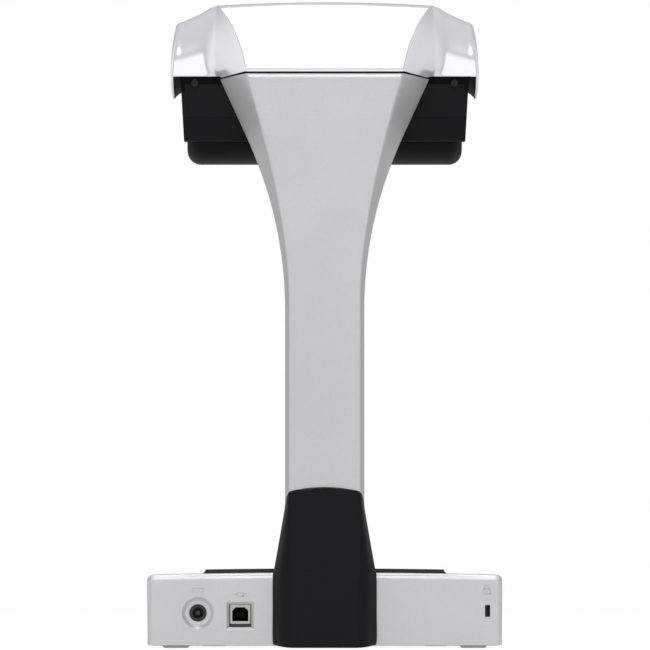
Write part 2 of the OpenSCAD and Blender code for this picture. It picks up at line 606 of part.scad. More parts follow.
sector_first = -3;
sector_last = 10;
sector_step = 360 / sector_teeth;
sector_from = idler_dir + (sector_first - 0.5) * sector_step;
sector_to = idler_dir + (sector_last + 0.5) * sector_step;
sector_root = pitch_r(sector_teeth) - 1.15 * gear_m;
link_spots = [[-9, -9], [9, -9]];
module drive_sector() color("#e4e2da") at_yz([drum_y, drum_z]) translate([gear_plane[0], 0, 0])
  rotate([90, 0, 90]) {
    difference() {
      linear_extrude(gear_plane[1] - gear_plane[0]) polygon(concat(
        [[-13, -13], [13, -13], polar(sector_root, sector_from)],
        [for (k = [sector_first:sector_last]) each tooth(sector_teeth, idler_dir + k * sector_step)],
        [polar(sector_root, sector_to)]));
      translate([0, 14, -1]) cylinder(r = 5, h = 10);
    }
    for (p = link_spots) translate([p.x, p.y, gear_plane[1] - gear_plane[0]]) cylinder(r = 3, h = 8);
  }
module idler_gear() color("#e4e2da") at_yz(idler_yz) {
  wheel(idler_small, idler_dir + 180 - 180 / idler_small, [gear_plane[0] - 0.5, wheel_plane[0]], pin_r + run);
  wheel(idler_big, 0, wheel_plane, pin_r + run);
}
module idler_pin() color("#c2c4c6") at_yz(idler_yz) {
  rod_x(pin_r, [-70.5, bracket_x[1]]);
  rod_x(3, [bracket_x[0] - 0.7, bracket_x[0]]);
}
module idler_clip() color("#8f9194") at_yz(idler_yz) tube_x(3.4, pin_r, [-69.8, -69]);
module motor_bracket() color("#a9abad") difference() {
  union() {
    slab(bracket_x, [-16, 24], [chassis_z + plate, 368]);
    slab([bracket_x[0], -38], [-14, tab_y[1]], [chassis_z + plate, chassis_z + 2 * plate]);
  }
  at_yz(idler_yz) rod_x(pin_r, [-70, -50]);
  at_yz(pinion_yz) rod_x(3.6, [-70, -50]);
}
module drive_motor() color("#77797d") at_yz(pinion_yz) difference() {
  union() {
    rod_x(motor_r, [bracket_x[1], -34]);
    rod_x(3.5, [bracket_x[0] - 0.2, -40]);
  }
  rod_x(shaft_r + run, [-70, -37]);
}
module motor_shaft() color("#d0d0d2") at_yz(pinion_yz) rod_x(shaft_r, [-64.5, -38]);
module motor_pinion() color("#c8a24a") at_yz(pinion_yz)
  wheel(pinion_teeth, 180 - 180 / pinion_teeth, [wheel_plane[0] - 0.4, bracket_x[0] - 0.6], shaft_r);
sensor_y = [-9, 2];
module home_sensor() color("#161618") difference() {
  slab([64, 72.4], sensor_y, [chassis_z - 9, chassis_z]);
  slab([67.3, 70.7], [-20, 20], [chassis_z - 10, chassis_z - 1.5]);
}
// The flat cable drops from the head board to the sensor board in one soft bend.
ribbon_x = [11, 25];
ribbon_r = 5;
module drum_ribbon() color("#dcdcd6") {
  slab(ribbon_x, [-20, -2 - ribbon_r], [drum_z + 3.6, drum_z + 4.2]);
  slab(ribbon_x, [-2.6, -2], [drum_z + 3.6 + ribbon_r, head_board_z[0] - 0.1]);
  translate([0, -2 - ribbon_r, drum_z + 3.6 + ribbon_r]) intersection() {
    tube_x(ribbon_r, ribbon_r - 0.6, ribbon_x);
    slab(ribbon_x, [0, 10], [-10, 0]);
  }
}

// ---- The swinging drum, in its own frame: the view looks down -Z ----
shell_t = 2;
module drum() at_yz([drum_y, drum_z]) rotate([-view_tilt, 0, 0]) children();
module turned(from, sweep)
  rotate([from, 0, 0]) rotate([0, 90, 0]) rotate_extrude(angle = sweep, $fn = 96) children();
// The shell's section: radius along x, length along y, with rounded ends.
module drum_section() {
  out = rounded([[drum_r, drum_half], [drum_r, -drum_half], [28, -drum_half], [28, drum_half]],
    [drum_round, drum_round, 0, 0], 6);
  in = rounded([[drum_r - shell_t, drum_half - shell_t], [drum_r - shell_t, shell_t - drum_half],
    [20, shell_t - drum_half], [20, drum_half - shell_t]],
    [drum_round - shell_t, drum_round - shell_t, 0, 0], 6);
  difference() {
    polygon(out);
    polygon(in);
  }
}
// Angles are measured from straight down, positive towards the front.
shell_front = 60;
shell_back = -92;
window = [70, 14];
lamp_window = [28, 9];
lamp_mid = 56;
module drum_shell() color("#141316") difference() {
  drum() turned(-shell_front + view_tilt, shell_front - shell_back) drum_section();
  drum() slab([-window.x / 2, window.x / 2], [-window.y / 2, window.y / 2], [-45, -20]);
  drum() for (s = [-1, 1]) translate([s * lamp_mid - lamp_window.x / 2, -lamp_window.y / 2, -45])
    cube([lamp_window.x, lamp_window.y, 25]);
}
end_x = [77, 79.4];
module drum_end() at_yz([drum_y, drum_z]) difference() {
  union() {
    turned(-shell_front, shell_front - shell_back)
      translate([10, end_x[0]]) square([18.5, end_x[1] - end_x[0]]);
    rod_x(11, [end_x[0], end_x[1]]);
  }
  rod_x(axle_r, [70, 90]);
}
module drum_end_right() color("#1a191d") drum_end();
module drum_end_left() color("#1a191d") mirror([1, 0, 0]) drum_end();
module axle() at_yz([drum_y, drum_z]) rod_x(axle_r, [70.8, end_x[1]]);
module axle_right() color("#c2c4c6") axle();
module axle_left() color("#c2c4c6") mirror([1, 0, 0]) axle();

frame_half = 56;
lens_r = 9;
board_low = 0.5;
module optics_frame() color("#26262a") difference() {
  drum() {
    slab([-frame_half, frame_half], [-14, 14], [-12, -9.5]);
    intersection() {
      both_sides() slab([frame_half - 2, frame_half], [-14, 14], [-40, 0]);
      rod_x(drum_r - shell_t, [-100, 100]);
    }
    for (sx = [-1, 1]) for (sy = [-1, 1])
      translate([sx * 34, sy * 7, -12]) cylinder(r = 2, h = 12 + board_low);
  }
  drum() translate([0, 0, -20]) cylinder(r = lens_r, h = 15);
  drum() both_sides() slab([50, 70], [-lamp_window.y / 2 - 1, lamp_window.y / 2 + 1], [-40, -27]);
}
module lens_barrel() color("#0e0e10") drum() difference() {
  translate([0, 0, -31]) cylinder(r = lens_r, h = 23);
  translate([0, 0, -32]) cylinder(r1 = 8, r2 = 6, h = 4);
  translate([0, 0, -30]) cylinder(r = 6, h = 30);
}
module lens_glass() color("#27304a") drum() translate([0, 0, -27.5]) cylinder(r = 6, h = 3);
module window_glass() color("#0d1014") drum()
  slab([0.2 - window.x / 2, window.x / 2 - 0.2], [0.2 - window.y / 2, window.y / 2 - 0.2], [-36.8, -35.4]);
module sensor_board() color("#1f5a3a") drum() slab([-40, 40], [-10, 10], [board_low, board_low + 1.6]);
module line_sensor() color("#2e2e33") drum() slab([-18, 18], [-4, 4], [board_low - 3, board_low]);
module lamp_boards() color("#e9e9e4") drum() for (s = [-1, 1])
  slab([s * lamp_mid - 15, s * lamp_mid + 15], [-5.2, 5.2], [-32.6, -31.2]);
module lamp_leds() color("#f4efc9") drum() for (s = [-1, 1]) for (i = [-2:2])
  slab([s * lamp_mid + 5 * i - 1.4, s * lamp_mid + 5 * i + 1.4], [-1.4, 1.4], [-33.6, -32.6]);
module lamp_lenses() color("#dfe3e8") drum() for (s = [-1, 1])
  slab([s * lamp_mid - lamp_window.x / 2 + 0.2, s * lamp_mid + lamp_window.x / 2 - 0.2],
       [0.2 - lamp_window.y / 2, lamp_window.y / 2 - 0.2], [-37, -34.6]);
// A blade on the right end passes through the slot of the home sensor.
module position_flag() color("#26262a") at_yz([drum_y, drum_z]) {
  turned(80, 24) translate([17, 68.5]) square([6, 1]);
  turned(80, 8) translate([19, 68.5]) square([4, end_x[0] - 68.5]);
}

base_tray();
base_weight();
rubber_feet();
base_screws();
base_rear_cover();
base_front_cover();
main_board();
board_spacers();
heat_sink();
dc_jack();
dc_pin();
usb_port();
usb_tongue();
lock_plate();
button_boards();
tact_switches();
scan_button();
stop_button();
power_lamp();
arm_boot();
arm_frame();
arm_bolts();
arm_rear_cover();
arm_front_cover();
signal_cable();
head_top_cover();
head_housing();
front_visor();
head_screws();
head_chassis();
chassis_screws();
head_board();
board_posts();
axle_bush_left();
axle_bush_right();
motor_bracket();
drive_motor();
motor_shaft();
motor_pinion();
idler_pin();
idler_gear();
idler_clip();
home_sensor();
drum_ribbon();
drum_shell();
drum_end_left();
drum_end_right();
axle_left();
axle_right();
optics_frame();
drive_sector();
position_flag();
lens_barrel();
lens_glass();
window_glass();
sensor_board();
line_sensor();
lamp_boards();
lamp_leds();
lamp_lenses();
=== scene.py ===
import json
import math

import bmesh
import bpy
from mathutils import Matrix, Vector


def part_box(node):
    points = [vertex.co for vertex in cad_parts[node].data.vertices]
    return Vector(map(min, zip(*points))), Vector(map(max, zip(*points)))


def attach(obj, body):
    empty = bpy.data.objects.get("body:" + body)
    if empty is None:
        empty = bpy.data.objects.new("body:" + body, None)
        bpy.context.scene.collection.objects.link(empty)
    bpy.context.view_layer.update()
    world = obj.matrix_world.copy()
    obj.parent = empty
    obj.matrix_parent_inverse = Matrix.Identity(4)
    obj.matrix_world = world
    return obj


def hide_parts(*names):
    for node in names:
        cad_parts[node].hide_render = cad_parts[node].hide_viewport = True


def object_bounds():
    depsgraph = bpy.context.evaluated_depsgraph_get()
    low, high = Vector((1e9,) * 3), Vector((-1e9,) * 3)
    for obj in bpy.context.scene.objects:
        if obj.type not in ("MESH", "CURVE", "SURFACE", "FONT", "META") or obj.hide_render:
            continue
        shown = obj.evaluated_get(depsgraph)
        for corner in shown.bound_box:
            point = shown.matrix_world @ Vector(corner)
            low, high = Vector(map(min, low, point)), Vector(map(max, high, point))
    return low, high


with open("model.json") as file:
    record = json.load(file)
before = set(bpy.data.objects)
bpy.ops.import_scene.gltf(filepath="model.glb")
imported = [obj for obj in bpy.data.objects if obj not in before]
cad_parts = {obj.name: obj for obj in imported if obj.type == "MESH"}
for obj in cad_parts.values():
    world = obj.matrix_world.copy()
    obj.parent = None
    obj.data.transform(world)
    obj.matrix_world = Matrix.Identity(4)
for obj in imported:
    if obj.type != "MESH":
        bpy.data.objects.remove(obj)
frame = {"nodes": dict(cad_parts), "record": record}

CAD_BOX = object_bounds()
MM = 0.001

# ---------------------------------------------------------------- sizes, in millimetres
def node_box(name):
    """Lowest and highest corner of a CAD node, in millimetres."""
    low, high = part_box(name)
    return low / MM, high / MM


LOW, HIGH = (corner / MM for corner in CAD_BOX)
BACK_Y, FRONT_Y, TOP_Z = HIGH.y, LOW.y, HIGH.z
BASE_HIGH = node_box("base_rear_cover")[1]
BASE_HALF = BASE_HIGH.x
BAR_BACK, BAR_TOP = BASE_HIGH.y, BASE_HIGH.z
HOUSE_BACK = node_box("head_housing")[1].y
BOOT_LOW, BOOT_HIGH = node_box("arm_boot")
SEAM_Z = TOP_Z - 41.6
HEAD_BACK = BACK_Y - 53.5
ARM_HALF, ARM_PANEL, ARM_DEPTH = 23.5, 21.2, 32.0
BOW_Z = 150.0


# ---------------------------------------------------------------- geometry helpers
def lerp(a, b, t):
    """Part of the way from a to b."""
    return a + (b - a) * t


def smooth(t):
    """Eases from 0 to 1 with no slope at either end."""
    t = max(0.0, min(1.0, t))
    return t * t * (3 - 2 * t)


def bezier(p, t):
    """A point of a cubic curve in any number of dimensions."""
    weights = ((1 - t) ** 3, 3 * (1 - t) ** 2 * t, 3 * (1 - t) * t * t, t ** 3)
    return [sum(w * q[i] for w, q in zip(weights, p)) for i in range(len(p[0]))]


def track(points, t):
    """A smooth curve through points given as (parameter, value...), read at t."""
    keys = [p[0] for p in points]
    if t <= keys[0]:
        return list(points[0][1:])
    if t >= keys[-1]:
        return list(points[-1][1:])
    i = next(k for k in range(len(keys) - 1) if t <= keys[k + 1])
    a, b = points[i], points[i + 1]
    before = points[max(i - 1, 0)]
    after = points[min(i + 2, len(points) - 1)]
    span = b[0] - a[0]
    u = (t - a[0]) / span
    out = []
    for k in range(1, len(a)):
        slope_a = (b[k] - before[k]) / (b[0] - before[0])
        slope_b = (after[k] - a[k]) / (after[0] - a[0])
        out.append(
            (2 * u**3 - 3 * u**2 + 1) * a[k] + (u**3 - 2 * u**2 + u) * span * slope_a
            + (3 * u**2 - 2 * u**3) * b[k] + (u**3 - u**2) * span * slope_b
        )
    return out


def mirrored(half):
    """A row of points from one side to the other, made from its half that starts at x = 0."""
    left = [(-x, y, z) for x, y, z in reversed(half)]
    start = 1 if half[0][0] == 0 else 0
    return left + half[start:]


def new_piece(name, mesh_or_bmesh, material, body, replaces=()):
    """Links a mesh, gives it its material and lets it ride on its body."""
    mesh = mesh_or_bmesh
    if isinstance(mesh, bmesh.types.BMesh):
        mesh = bpy.data.meshes.new(name)
        mesh_or_bmesh.to_mesh(mesh)
        mesh_or_bmesh.free()
    for polygon in mesh.polygons:
        polygon.use_smooth = True
    piece = bpy.data.objects.new(name, mesh)
    bpy.context.scene.collection.objects.link(piece)
    mesh.materials.append(material)
    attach(piece, body)
    if replaces:
        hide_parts(*replaces)
    return piece


def sheet_normals(rows, centre):
    """The outward normal at each point of a sheet, away from a centre."""
    high, wide = len(rows), len(rows[0])
    normals = []
    score = 0.0
    for i in range(high):
        line = []
        for j in range(wide):
            across = rows[i][min(j + 1, wide - 1)] - rows[i][max(j - 1, 0)]
            up = rows[min(i + 1, high - 1)][j] - rows[max(i - 1, 0)][j]
            line.append(across.cross(up).normalized())
            score += line[-1].dot(rows[i][j] - centre)
        normals.append(line)
    sign = 1 if score > 0 else -1
    return [[n * sign for n in line] for line in normals]


def edge_loop(high, wide):
    """The places (row, column) round the border of a sheet, in order."""
    loop = [(0, j) for j in range(wide)]
    loop += [(i, wide - 1) for i in range(1, high)]
    loop += [(high - 1, j) for j in range(wide - 2, -1, -1)]
    loop += [(i, 0) for i in range(high - 2, 0, -1)]
    return loop


def shell_bmesh(points, wall, rim, centre, arc=3):
    """A closed cover: an outer sheet, an inner one a wall below it, and a rounded rim between.

    rim is the radius on the first row, on the last row and along the two sides.
    """
    rows = [[Vector(p) for p in row] for row in points]
    high, wide = len(rows), len(rows[0])
    normals = sheet_normals(rows, Vector(centre))
    loop = edge_loop(high, wide)
    inset, radius = {}, {}
    for i, j in loop:
        row, column = min(max(i, 1), high - 2), min(max(j, 1), wide - 2)
        away = rows[i][j] - rows[row][column]
        away -= normals[i][j] * away.dot(normals[i][j])
        radius[i, j] = rim[0] if i == 0 else rim[1] if i == high - 1 else rim[2]
        inset[i, j] = away.normalized() * min(radius[i, j], 0.6 * away.length)
    made = bmesh.new()

    def layer(depth):
        """All the points of the sheet, set in from the border and sunk by depth."""
        return [[made.verts.new((rows[i][j] - inset.get((i, j), Vector()) - normals[i][j] * depth) * MM)
                 for j in range(wide)] for i in range(high)]

    outer, inner = layer(0.0), layer(wall)
    for verts in (outer, inner):
        for i in range(high - 1):
            for j in range(wide - 1):
                made.faces.new((verts[i][j], verts[i][j + 1], verts[i + 1][j + 1], verts[i + 1][j]))
    rings = [[outer[i][j] for i, j in loop]]
    near_side = [(math.sin(math.radians(90 * k / arc)), 1 - math.cos(math.radians(90 * k / arc)))
                 for k in range(1, arc + 1)]
    profile = [(out, drop, 0.0) for out, drop in near_side]
    profile += [(out, -drop, wall) for out, drop in reversed(near_side)]
    for out, drop, level in profile:
        ring = []
        for i, j in loop:
            depth = level + radius[i, j] * drop
            place = rows[i][j] - inset[i, j] * (1 - out) - normals[i][j] * depth
            ring.append(made.verts.new(place * MM))
        rings.append(ring)
    rings.append([inner[i][j] for i, j in loop])
    for near, far in zip(rings, rings[1:]):
        for k in range(len(loop)):
            n = (k + 1) % len(loop)
            made.faces.new((near[k], near[n], far[n], far[k]))
    bmesh.ops.recalc_face_normals(made, faces=made.faces)
    return made


def modifier(piece, kind, name, **settings):
    """Adds a modifier with its settings."""
    made = piece.modifiers.new(name, kind)
    for key, value in settings.items():
        setattr(made, key, value)
    return made


def outline_points(corners, radii, steps=8):
    """A polygon whose corner i is rounded to radii[i]."""
    out = []
    count = len(corners)
    for i, corner in enumerate(corners):
        p = Vector(corner)
        if radii[i] <= 0:
            out.append(tuple(p))
            continue
        u = (Vector(corners[i - 1]) - p).normalized()
        w = (Vector(corners[(i + 1) % count]) - p).normalized()
        half = u.angle(w) / 2
        centre = p + (u + w).normalized() * radii[i] / math.sin(half)
        start = p + u * radii[i] / math.tan(half) - centre
        end = p + w * radii[i] / math.tan(half) - centre
        first = math.atan2(start.y, start.x)
        sweep = (math.atan2(end.y, end.x) - first + math.pi) % math.tau - math.pi
        for k in range(steps + 1):
            a = first + sweep * k / steps
            out.append((centre.x + radii[i] * math.cos(a), centre.y + radii[i] * math.sin(a)))
    return out


AXES = {"x": lambda u, v, w: (w, u, v), "y": lambda u, v, w: (u, w, v), "z": lambda u, v, w: (u, v, w)}


def prism(outline, axis, span):
    """An outline pulled straight along an axis, from one end of the span to the other."""
    made = bmesh.new()
    place = AXES[axis]
    near, far = [[made.verts.new(Vector(place(u, v, w)) * MM) for u, v in outline] for w in span]
    count = len(outline)
    for i in range(count):
        made.faces.new((near[i], near[(i + 1) % count], far[(i + 1) % count], far[i]))
    made.faces.new(near[::-1])
    made.faces.new(far)
    bmesh.ops.recalc_face_normals(made, faces=made.faces)
    return made


def slab(x, y, z):
    """A plain block to cut with or to bevel."""
    return prism([(x[0], y[0]), (x[1], y[0]), (x[1], y[1]), (x[0], y[1])], "z", z)


def lathe(profile, centre, steps=64):
    """Turns a closed profile of (radius, y) round an axis along Y through centre."""
    made = bmesh.new()
    rings = []
    for r, y in profile:
        ring = []
        for k in range(steps):
            a = math.tau * k / steps
            point = Vector((r * math.cos(a), y, r * math.sin(a))) + Vector(centre)
            ring.append(made.verts.new(point * MM))
        rings.append(ring)
    for near, far in zip(rings, rings[1:] + rings[:1]):
        for k in range(steps):
            n = (k + 1) % steps
            made.faces.new((near[k], near[n], far[n], far[k]))
    bmesh.ops.recalc_face_normals(made, faces=made.faces)
    return made


def merged(*parts):
    """Several separate closed meshes in one."""
    made = bmesh.new()
    for part in parts:
        mesh = bpy.data.meshes.new("part")
        part.to_mesh(mesh)
        part.free()
        made.from_mesh(mesh)
        bpy.data.meshes.remove(mesh)
    return made


def temporary(made):
    """A mesh as an object of its own, for a boolean step."""
    mesh = bpy.data.meshes.new("temporary")
    made.to_mesh(mesh)
    made.free()
    holder = bpy.data.objects.new("temporary", mesh)
    bpy.context.scene.collection.objects.link(holder)
    return holder


def carved(solid, *tools):
    """A solid with each tool's shape cut out of it exactly, as a new mesh."""
    holder = temporary(solid)
    for tool in tools:
        cutter = temporary(tool)
        modifier(holder, "BOOLEAN", "cut", operation="DIFFERENCE", object=cutter, solver="EXACT")
        bpy.context.view_layer.update()
        graph = bpy.context.evaluated_depsgraph_get()
        mesh = bpy.data.meshes.new_from_object(holder.evaluated_get(graph))
        holder.modifiers.clear()
        holder.data = mesh
        bpy.data.objects.remove(cutter)
    mesh = holder.data
    bpy.data.objects.remove(holder)
    return mesh


def soften(piece, width, segments=2, angle=35):
    """Rounds the hard edges of a machined or moulded block and evens its shading."""
    modifier(piece, "BEVEL", "edges", width=width * MM, segments=segments, limit_method="ANGLE",
             angle_limit=math.radians(angle), miter_outer="MITER_ARC", use_clamp_overlap=True)
    modifier(piece, "WEIGHTED_NORMAL", "normals", keep_sharp=False, weight=80)


# ---------------------------------------------------------------- materials
class Shader:
    """A small helper that builds one node material."""

    def __init__(self, name):
        self.material = bpy.data.materials.new(name)
        self.material.use_nodes = True
        self.nodes = self.material.node_tree.nodes
        self.links = self.material.node_tree.links
        self.bsdf = self.nodes["Principled BSDF"]
        self.place = self.node("ShaderNodeTexCoord").outputs["Object"]

    def node(self, kind, **settings):
        made = self.nodes.new(kind)
        for key, value in settings.items():
            setattr(made, key, value)
        return made

    def link(self, source, target):
        self.links.new(source, target)

    def scaled(self, scale):
        """The place, stretched along each axis."""
        mapping = self.node("ShaderNodeMapping")
        mapping.inputs["Scale"].default_value = scale
        self.link(self.place, mapping.inputs["Vector"])
        return mapping.outputs["Vector"]

    def noise(self, scale, detail=3.0, rough=0.5, vector=None):
        made = self.node("ShaderNodeTexNoise")
        made.inputs["Scale"].default_value = scale
        made.inputs["Detail"].default_value = detail
        made.inputs["Roughness"].default_value = rough
        self.link(vector or self.place, made.inputs["Vector"])
        return made.outputs["Fac"]

    def cells(self, scale, vector=None, output="Color"):
        made = self.node("ShaderNodeTexVoronoi")
        made.inputs["Scale"].default_value = scale
        self.link(vector or self.place, made.inputs["Vector"])
        return made.outputs[output]

    def remap(self, value, low, high, start=0.0, end=1.0):
        made = self.node("ShaderNodeMapRange")
        self.link(value, made.inputs["Value"])
        for key, number in zip(("From Min", "From Max", "To Min", "To Max"), (start, end, low, high)):
            made.inputs[key].default_value = number
        return made.outputs["Result"]

    def math(self, operation, a, b):
        made = self.node("ShaderNodeMath", operation=operation)
        for socket, value in zip(made.inputs, (a, b)):
            if isinstance(value, (int, float)):
                socket.default_value = value
            else:
                self.link(value, socket)
        return made.outputs["Value"]

    def mix(self, factor, a, b):
        made = self.node("ShaderNodeMix", data_type="RGBA")
        self.link(factor, made.inputs["Factor"])
        for socket, value in ((made.inputs[6], a), (made.inputs[7], b)):
            if isinstance(value, tuple):
                socket.default_value = (*value, 1.0)
            else:
                self.link(value, socket)
        return made.outputs[2]

    def bumps(self, *layers):
        """Bump from (height, strength, distance in millimetres) layers."""
        normal = None
        for height, strength, distance in layers:
            made = self.node("ShaderNodeBump")
            made.inputs["Strength"].default_value = strength
            made.inputs["Distance"].default_value = distance * MM
            self.link(height, made.inputs["Height"])
            if normal is not None:
                self.link(normal, made.inputs["Normal"])
            normal = made.outputs["Normal"]
        self.link(normal, self.bsdf.inputs["Normal"])

    def edges(self, radius, gain):
        """1 at outer and inner edges, 0 on flats."""
        bevel = self.node("ShaderNodeBevel", samples=4)
        bevel.inputs["Radius"].default_value = radius * MM
        geometry = self.node("ShaderNodeNewGeometry")
        dot = self.node("ShaderNodeVectorMath", operation="DOT_PRODUCT")
        self.link(bevel.outputs["Normal"], dot.inputs[0])
        self.link(geometry.outputs["Normal"], dot.inputs[1])
        away = self.math("SUBTRACT", 1.0, dot.outputs["Value"])
        made = self.math("MULTIPLY", away, gain)
        return self.remap(made, 0.0, 1.0)

    def set(self, **sockets):
        for key, value in sockets.items():
            self.bsdf.inputs[key.replace("_", " ")].default_value = value


def shade(colour, factor):
    """A colour made darker or lighter."""
    return tuple(min(1.0, c * factor) for c in colour)


def painted(name, colour, rough, metal=0.0, coat=0.0, flake=0.0, grain=0.25, grain_strength=0.15,
            wear=0.25, shine=0.5, sheen=0.0):
    """Sprayed or moulded plastic: faint cloudiness, a fine grain, softly rubbed edges."""
    s = Shader(name)
    cloud = s.remap(s.noise(9.0, 4.0), 0.0, 1.0, 0.3, 0.7)
    base = s.mix(cloud, shade(colour, 0.965), shade(colour, 1.025))
    if flake:
        sparkle = s.remap(s.cells(3800.0), -flake, flake)
        bright = s.node("ShaderNodeHueSaturation")
        s.link(base, bright.inputs["Color"])
        s.link(s.math("ADD", sparkle, 1.0), bright.inputs["Value"])
        base = bright.outputs["Color"]
    patches = s.remap(s.noise(140.0, 5.0, 0.7), 0.0, wear, 0.42, 0.68)
    rubbed = s.math("MULTIPLY", s.edges(0.5, 3.0), patches)
    s.link(s.mix(rubbed, base, shade(colour, 1.35)), s.bsdf.inputs["Base Color"])
    smudge = s.noise(28.0, 6.0, 0.62)
    s.link(s.remap(smudge, rough * 0.88, rough * 1.14, 0.3, 0.7), s.bsdf.inputs["Roughness"])
    s.set(Metallic=metal, Coat_Weight=coat, Coat_Roughness=0.06, Specular_IOR_Level=shine,
          Sheen_Weight=sheen)
    s.bumps((s.noise(1.0 / (grain * MM), 2.0), grain_strength, 0.05), (s.noise(22.0, 2.0), 0.02, 0.2))
    return s.material


def metal(name, colour, rough, brushed="x", streak=0.12, wear=0.3):
    """Brushed or rolled metal with fine streaks along one axis."""
    s = Shader(name)
    stretch = [420.0, 420.0, 420.0]
    stretch["xyz".index(brushed)] = 16.0
    lines = s.noise(6.0, 4.0, 0.6, s.scaled(tuple(stretch)))
    tone = s.mix(s.noise(35.0, 4.0), shade(colour, 0.86), shade(colour, 1.08))
    rubbed = s.math("MULTIPLY", s.edges(0.4, 3.0), wear)
    s.link(s.mix(rubbed, tone, shade(colour, 1.3)), s.bsdf.inputs["Base Color"])
    s.link(s.remap(lines, rough * 0.75, rough * 1.3, 0.3, 0.7), s.bsdf.inputs["Roughness"])
    s.set(Metallic=1.0)
    s.bumps((lines, streak, 0.04))
    return s.material


def board(name, colour):
    """Green solder mask with copper tracks under it."""
    s = Shader(name)
    tracks = s.cells(260.0, s.scaled((1.0, 1.0, 0.0)), "Distance")
    copper = s.remap(tracks, 0.0, 1.0, 0.18, 0.22)
    s.link(s.mix(copper, shade(colour, 1.6), colour), s.bsdf.inputs["Base Color"])
    s.link(s.remap(s.noise(60.0), 0.25, 0.42), s.bsdf.inputs["Roughness"])
    s.bumps((copper, 0.3, 0.05))
    return s.material


def clear(name, colour, rough, see_through=0.9, ior=1.5):
    """Glass or clear plastic with a trace of dust."""
    s = Shader(name)
    dust = s.remap(s.noise(90.0, 6.0, 0.7), 0.0, 1.0, 0.4, 0.9)
    s.link(s.mix(dust, colour, shade(colour, 1.08)), s.bsdf.inputs["Base Color"])
    s.link(s.remap(dust, rough, rough + 0.08), s.bsdf.inputs["Roughness"])
    s.set(Transmission_Weight=see_through, IOR=ior)
    s.bumps((s.noise(400.0), 0.03, 0.02))
    return s.material


MATERIALS = {
    "hood_silver": painted("hood_pearl", (0.84, 0.85, 0.88), 0.16, metal=0.5, coat=0.3, flake=0.02,
                           grain=0.5, grain_strength=0.02, wear=0.06),
    "arm_silver": painted("satin_silver", (0.55, 0.555, 0.57), 0.36, metal=0.35, coat=0.2, flake=0.08,
                          grain=0.35, grain_strength=0.08, wear=0.15),
    "black_shell": painted("black_satin", (0.0045, 0.0040, 0.0068), 0.46, grain=0.30, grain_strength=0.28,
                           wear=0.25, shine=0.12, sheen=0.05),
    "smoked_front": painted("smoked_front", (0.006, 0.006, 0.007), 0.10, coat=0.6, grain=0.6,
                            grain_strength=0.02, wear=0.1),
    "button_black": painted("button_satin", (0.03, 0.03, 0.034), 0.32, coat=0.2, grain_strength=0.06),
    "black_moulding": painted("black_moulding", (0.014, 0.014, 0.015), 0.5, grain_strength=0.2),
    "socket_metal": metal("nickel_shell", (0.45, 0.43, 0.37), 0.34, "y", 0.05),
    # painted shade: the pin deep in the power inlet is given near-black metal for the shade it sits in.
    "pin_painted_shade": metal("pin_painted_shade", (0.06, 0.06, 0.065), 0.4, "y", 0.05),
    # painted shade: the head screws sit in shadow under the hood's edge and are given near-black metal.
    "screw_painted_shade": metal("screw_painted_shade", (0.03, 0.03, 0.03), 0.5, "x", 0.05),
    "shadow_black": painted("shadow_black", (0.004, 0.004, 0.005), 0.7, grain_strength=0.1, shine=0.05),
    # partly painted light: a lighter, shinier black than the shell, so the deck island's back slope comes
    # out brighter in the light.
    "deck_black": painted("deck_black", (0.018, 0.018, 0.020), 0.42, grain=0.3, grain_strength=0.2,
                          shine=0.4),
    # painted shade: a darker, duller copy of the black shell for the drum, which sits in shade under the
    # head.
    "drum_black_painted_shade": painted("drum_black_painted_shade", (0.0045, 0.0045, 0.0048), 0.5, grain_strength=0.2, shine=0.06),
    "steel": metal("zinc_sheet", (0.56, 0.57, 0.58), 0.38, "x"),
    "fastener": metal("zinc_screw", (0.62, 0.62, 0.63), 0.30, "z", 0.06),
    "weight_iron": painted("dark_weight", (0.06, 0.06, 0.065), 0.6, metal=0.6, grain=0.9,
                           grain_strength=0.5),
    "motor_case": metal("motor_can", (0.34, 0.35, 0.36), 0.35, "x"),
    "brass": metal("brass", (0.72, 0.53, 0.22), 0.28, "x", 0.06),
    "white_nylon": painted("white_nylon", (0.74, 0.73, 0.67), 0.42, grain_strength=0.08),
    "bush": painted("bearing_plastic", (0.52, 0.42, 0.22), 0.38, grain_strength=0.08),
    "circuit_board": board("circuit_board", (0.012, 0.11, 0.045)),
    "sink_alloy": metal("sink_alloy", (0.30, 0.31, 0.33), 0.45, "y"),
    "ribbon": painted("ribbon_cable", (0.70, 0.70, 0.66), 0.36, grain_strength=0.05),
    # painted light: the feet are pale grey rather than dark rubber, so the shaded gap under the bar reads
    # light.
    "foot_rubber": painted("foot_rubber", (0.50, 0.50, 0.51), 0.82, grain=0.5, grain_strength=0.5),
    "lamp_window": clear("lamp_window", (0.85, 0.88, 0.92), 0.30, 0.75),
    "optic_glass": clear("optic_glass", (0.16, 0.20, 0.42), 0.02, 0.6, 1.6),
    "dark_window": painted("dark_window", (0.008, 0.010, 0.014), 0.07, coat=1.0, grain_strength=0.01,
                           wear=0.05),
    # liner_grey: dark grey; on the cheek liners it is painted shade for the hood's inside.
    "liner_grey": painted("liner_grey", (0.055, 0.055, 0.06), 0.5, grain_strength=0.1),
    "led": painted("led_phosphor", (0.82, 0.70, 0.22), 0.35, grain_strength=0.1),
}
# CAD nodes that no new piece replaces keep their shape and take their slot's material.
for row in frame["record"]["subparts"]:
    node = frame["nodes"][row["node"]]
    node.data.materials.clear()
    node.data.materials.append(MATERIALS[row["material_slot"]])


# ---------------------------------------------------------------- camera, light and floor
# The camera stands far behind the object, 191 mm over the floor, with a lens to match.
CAMERA_PLACE, CAMERA_LENS = (-0.0002, 13.0, 0.1912), 1212.0
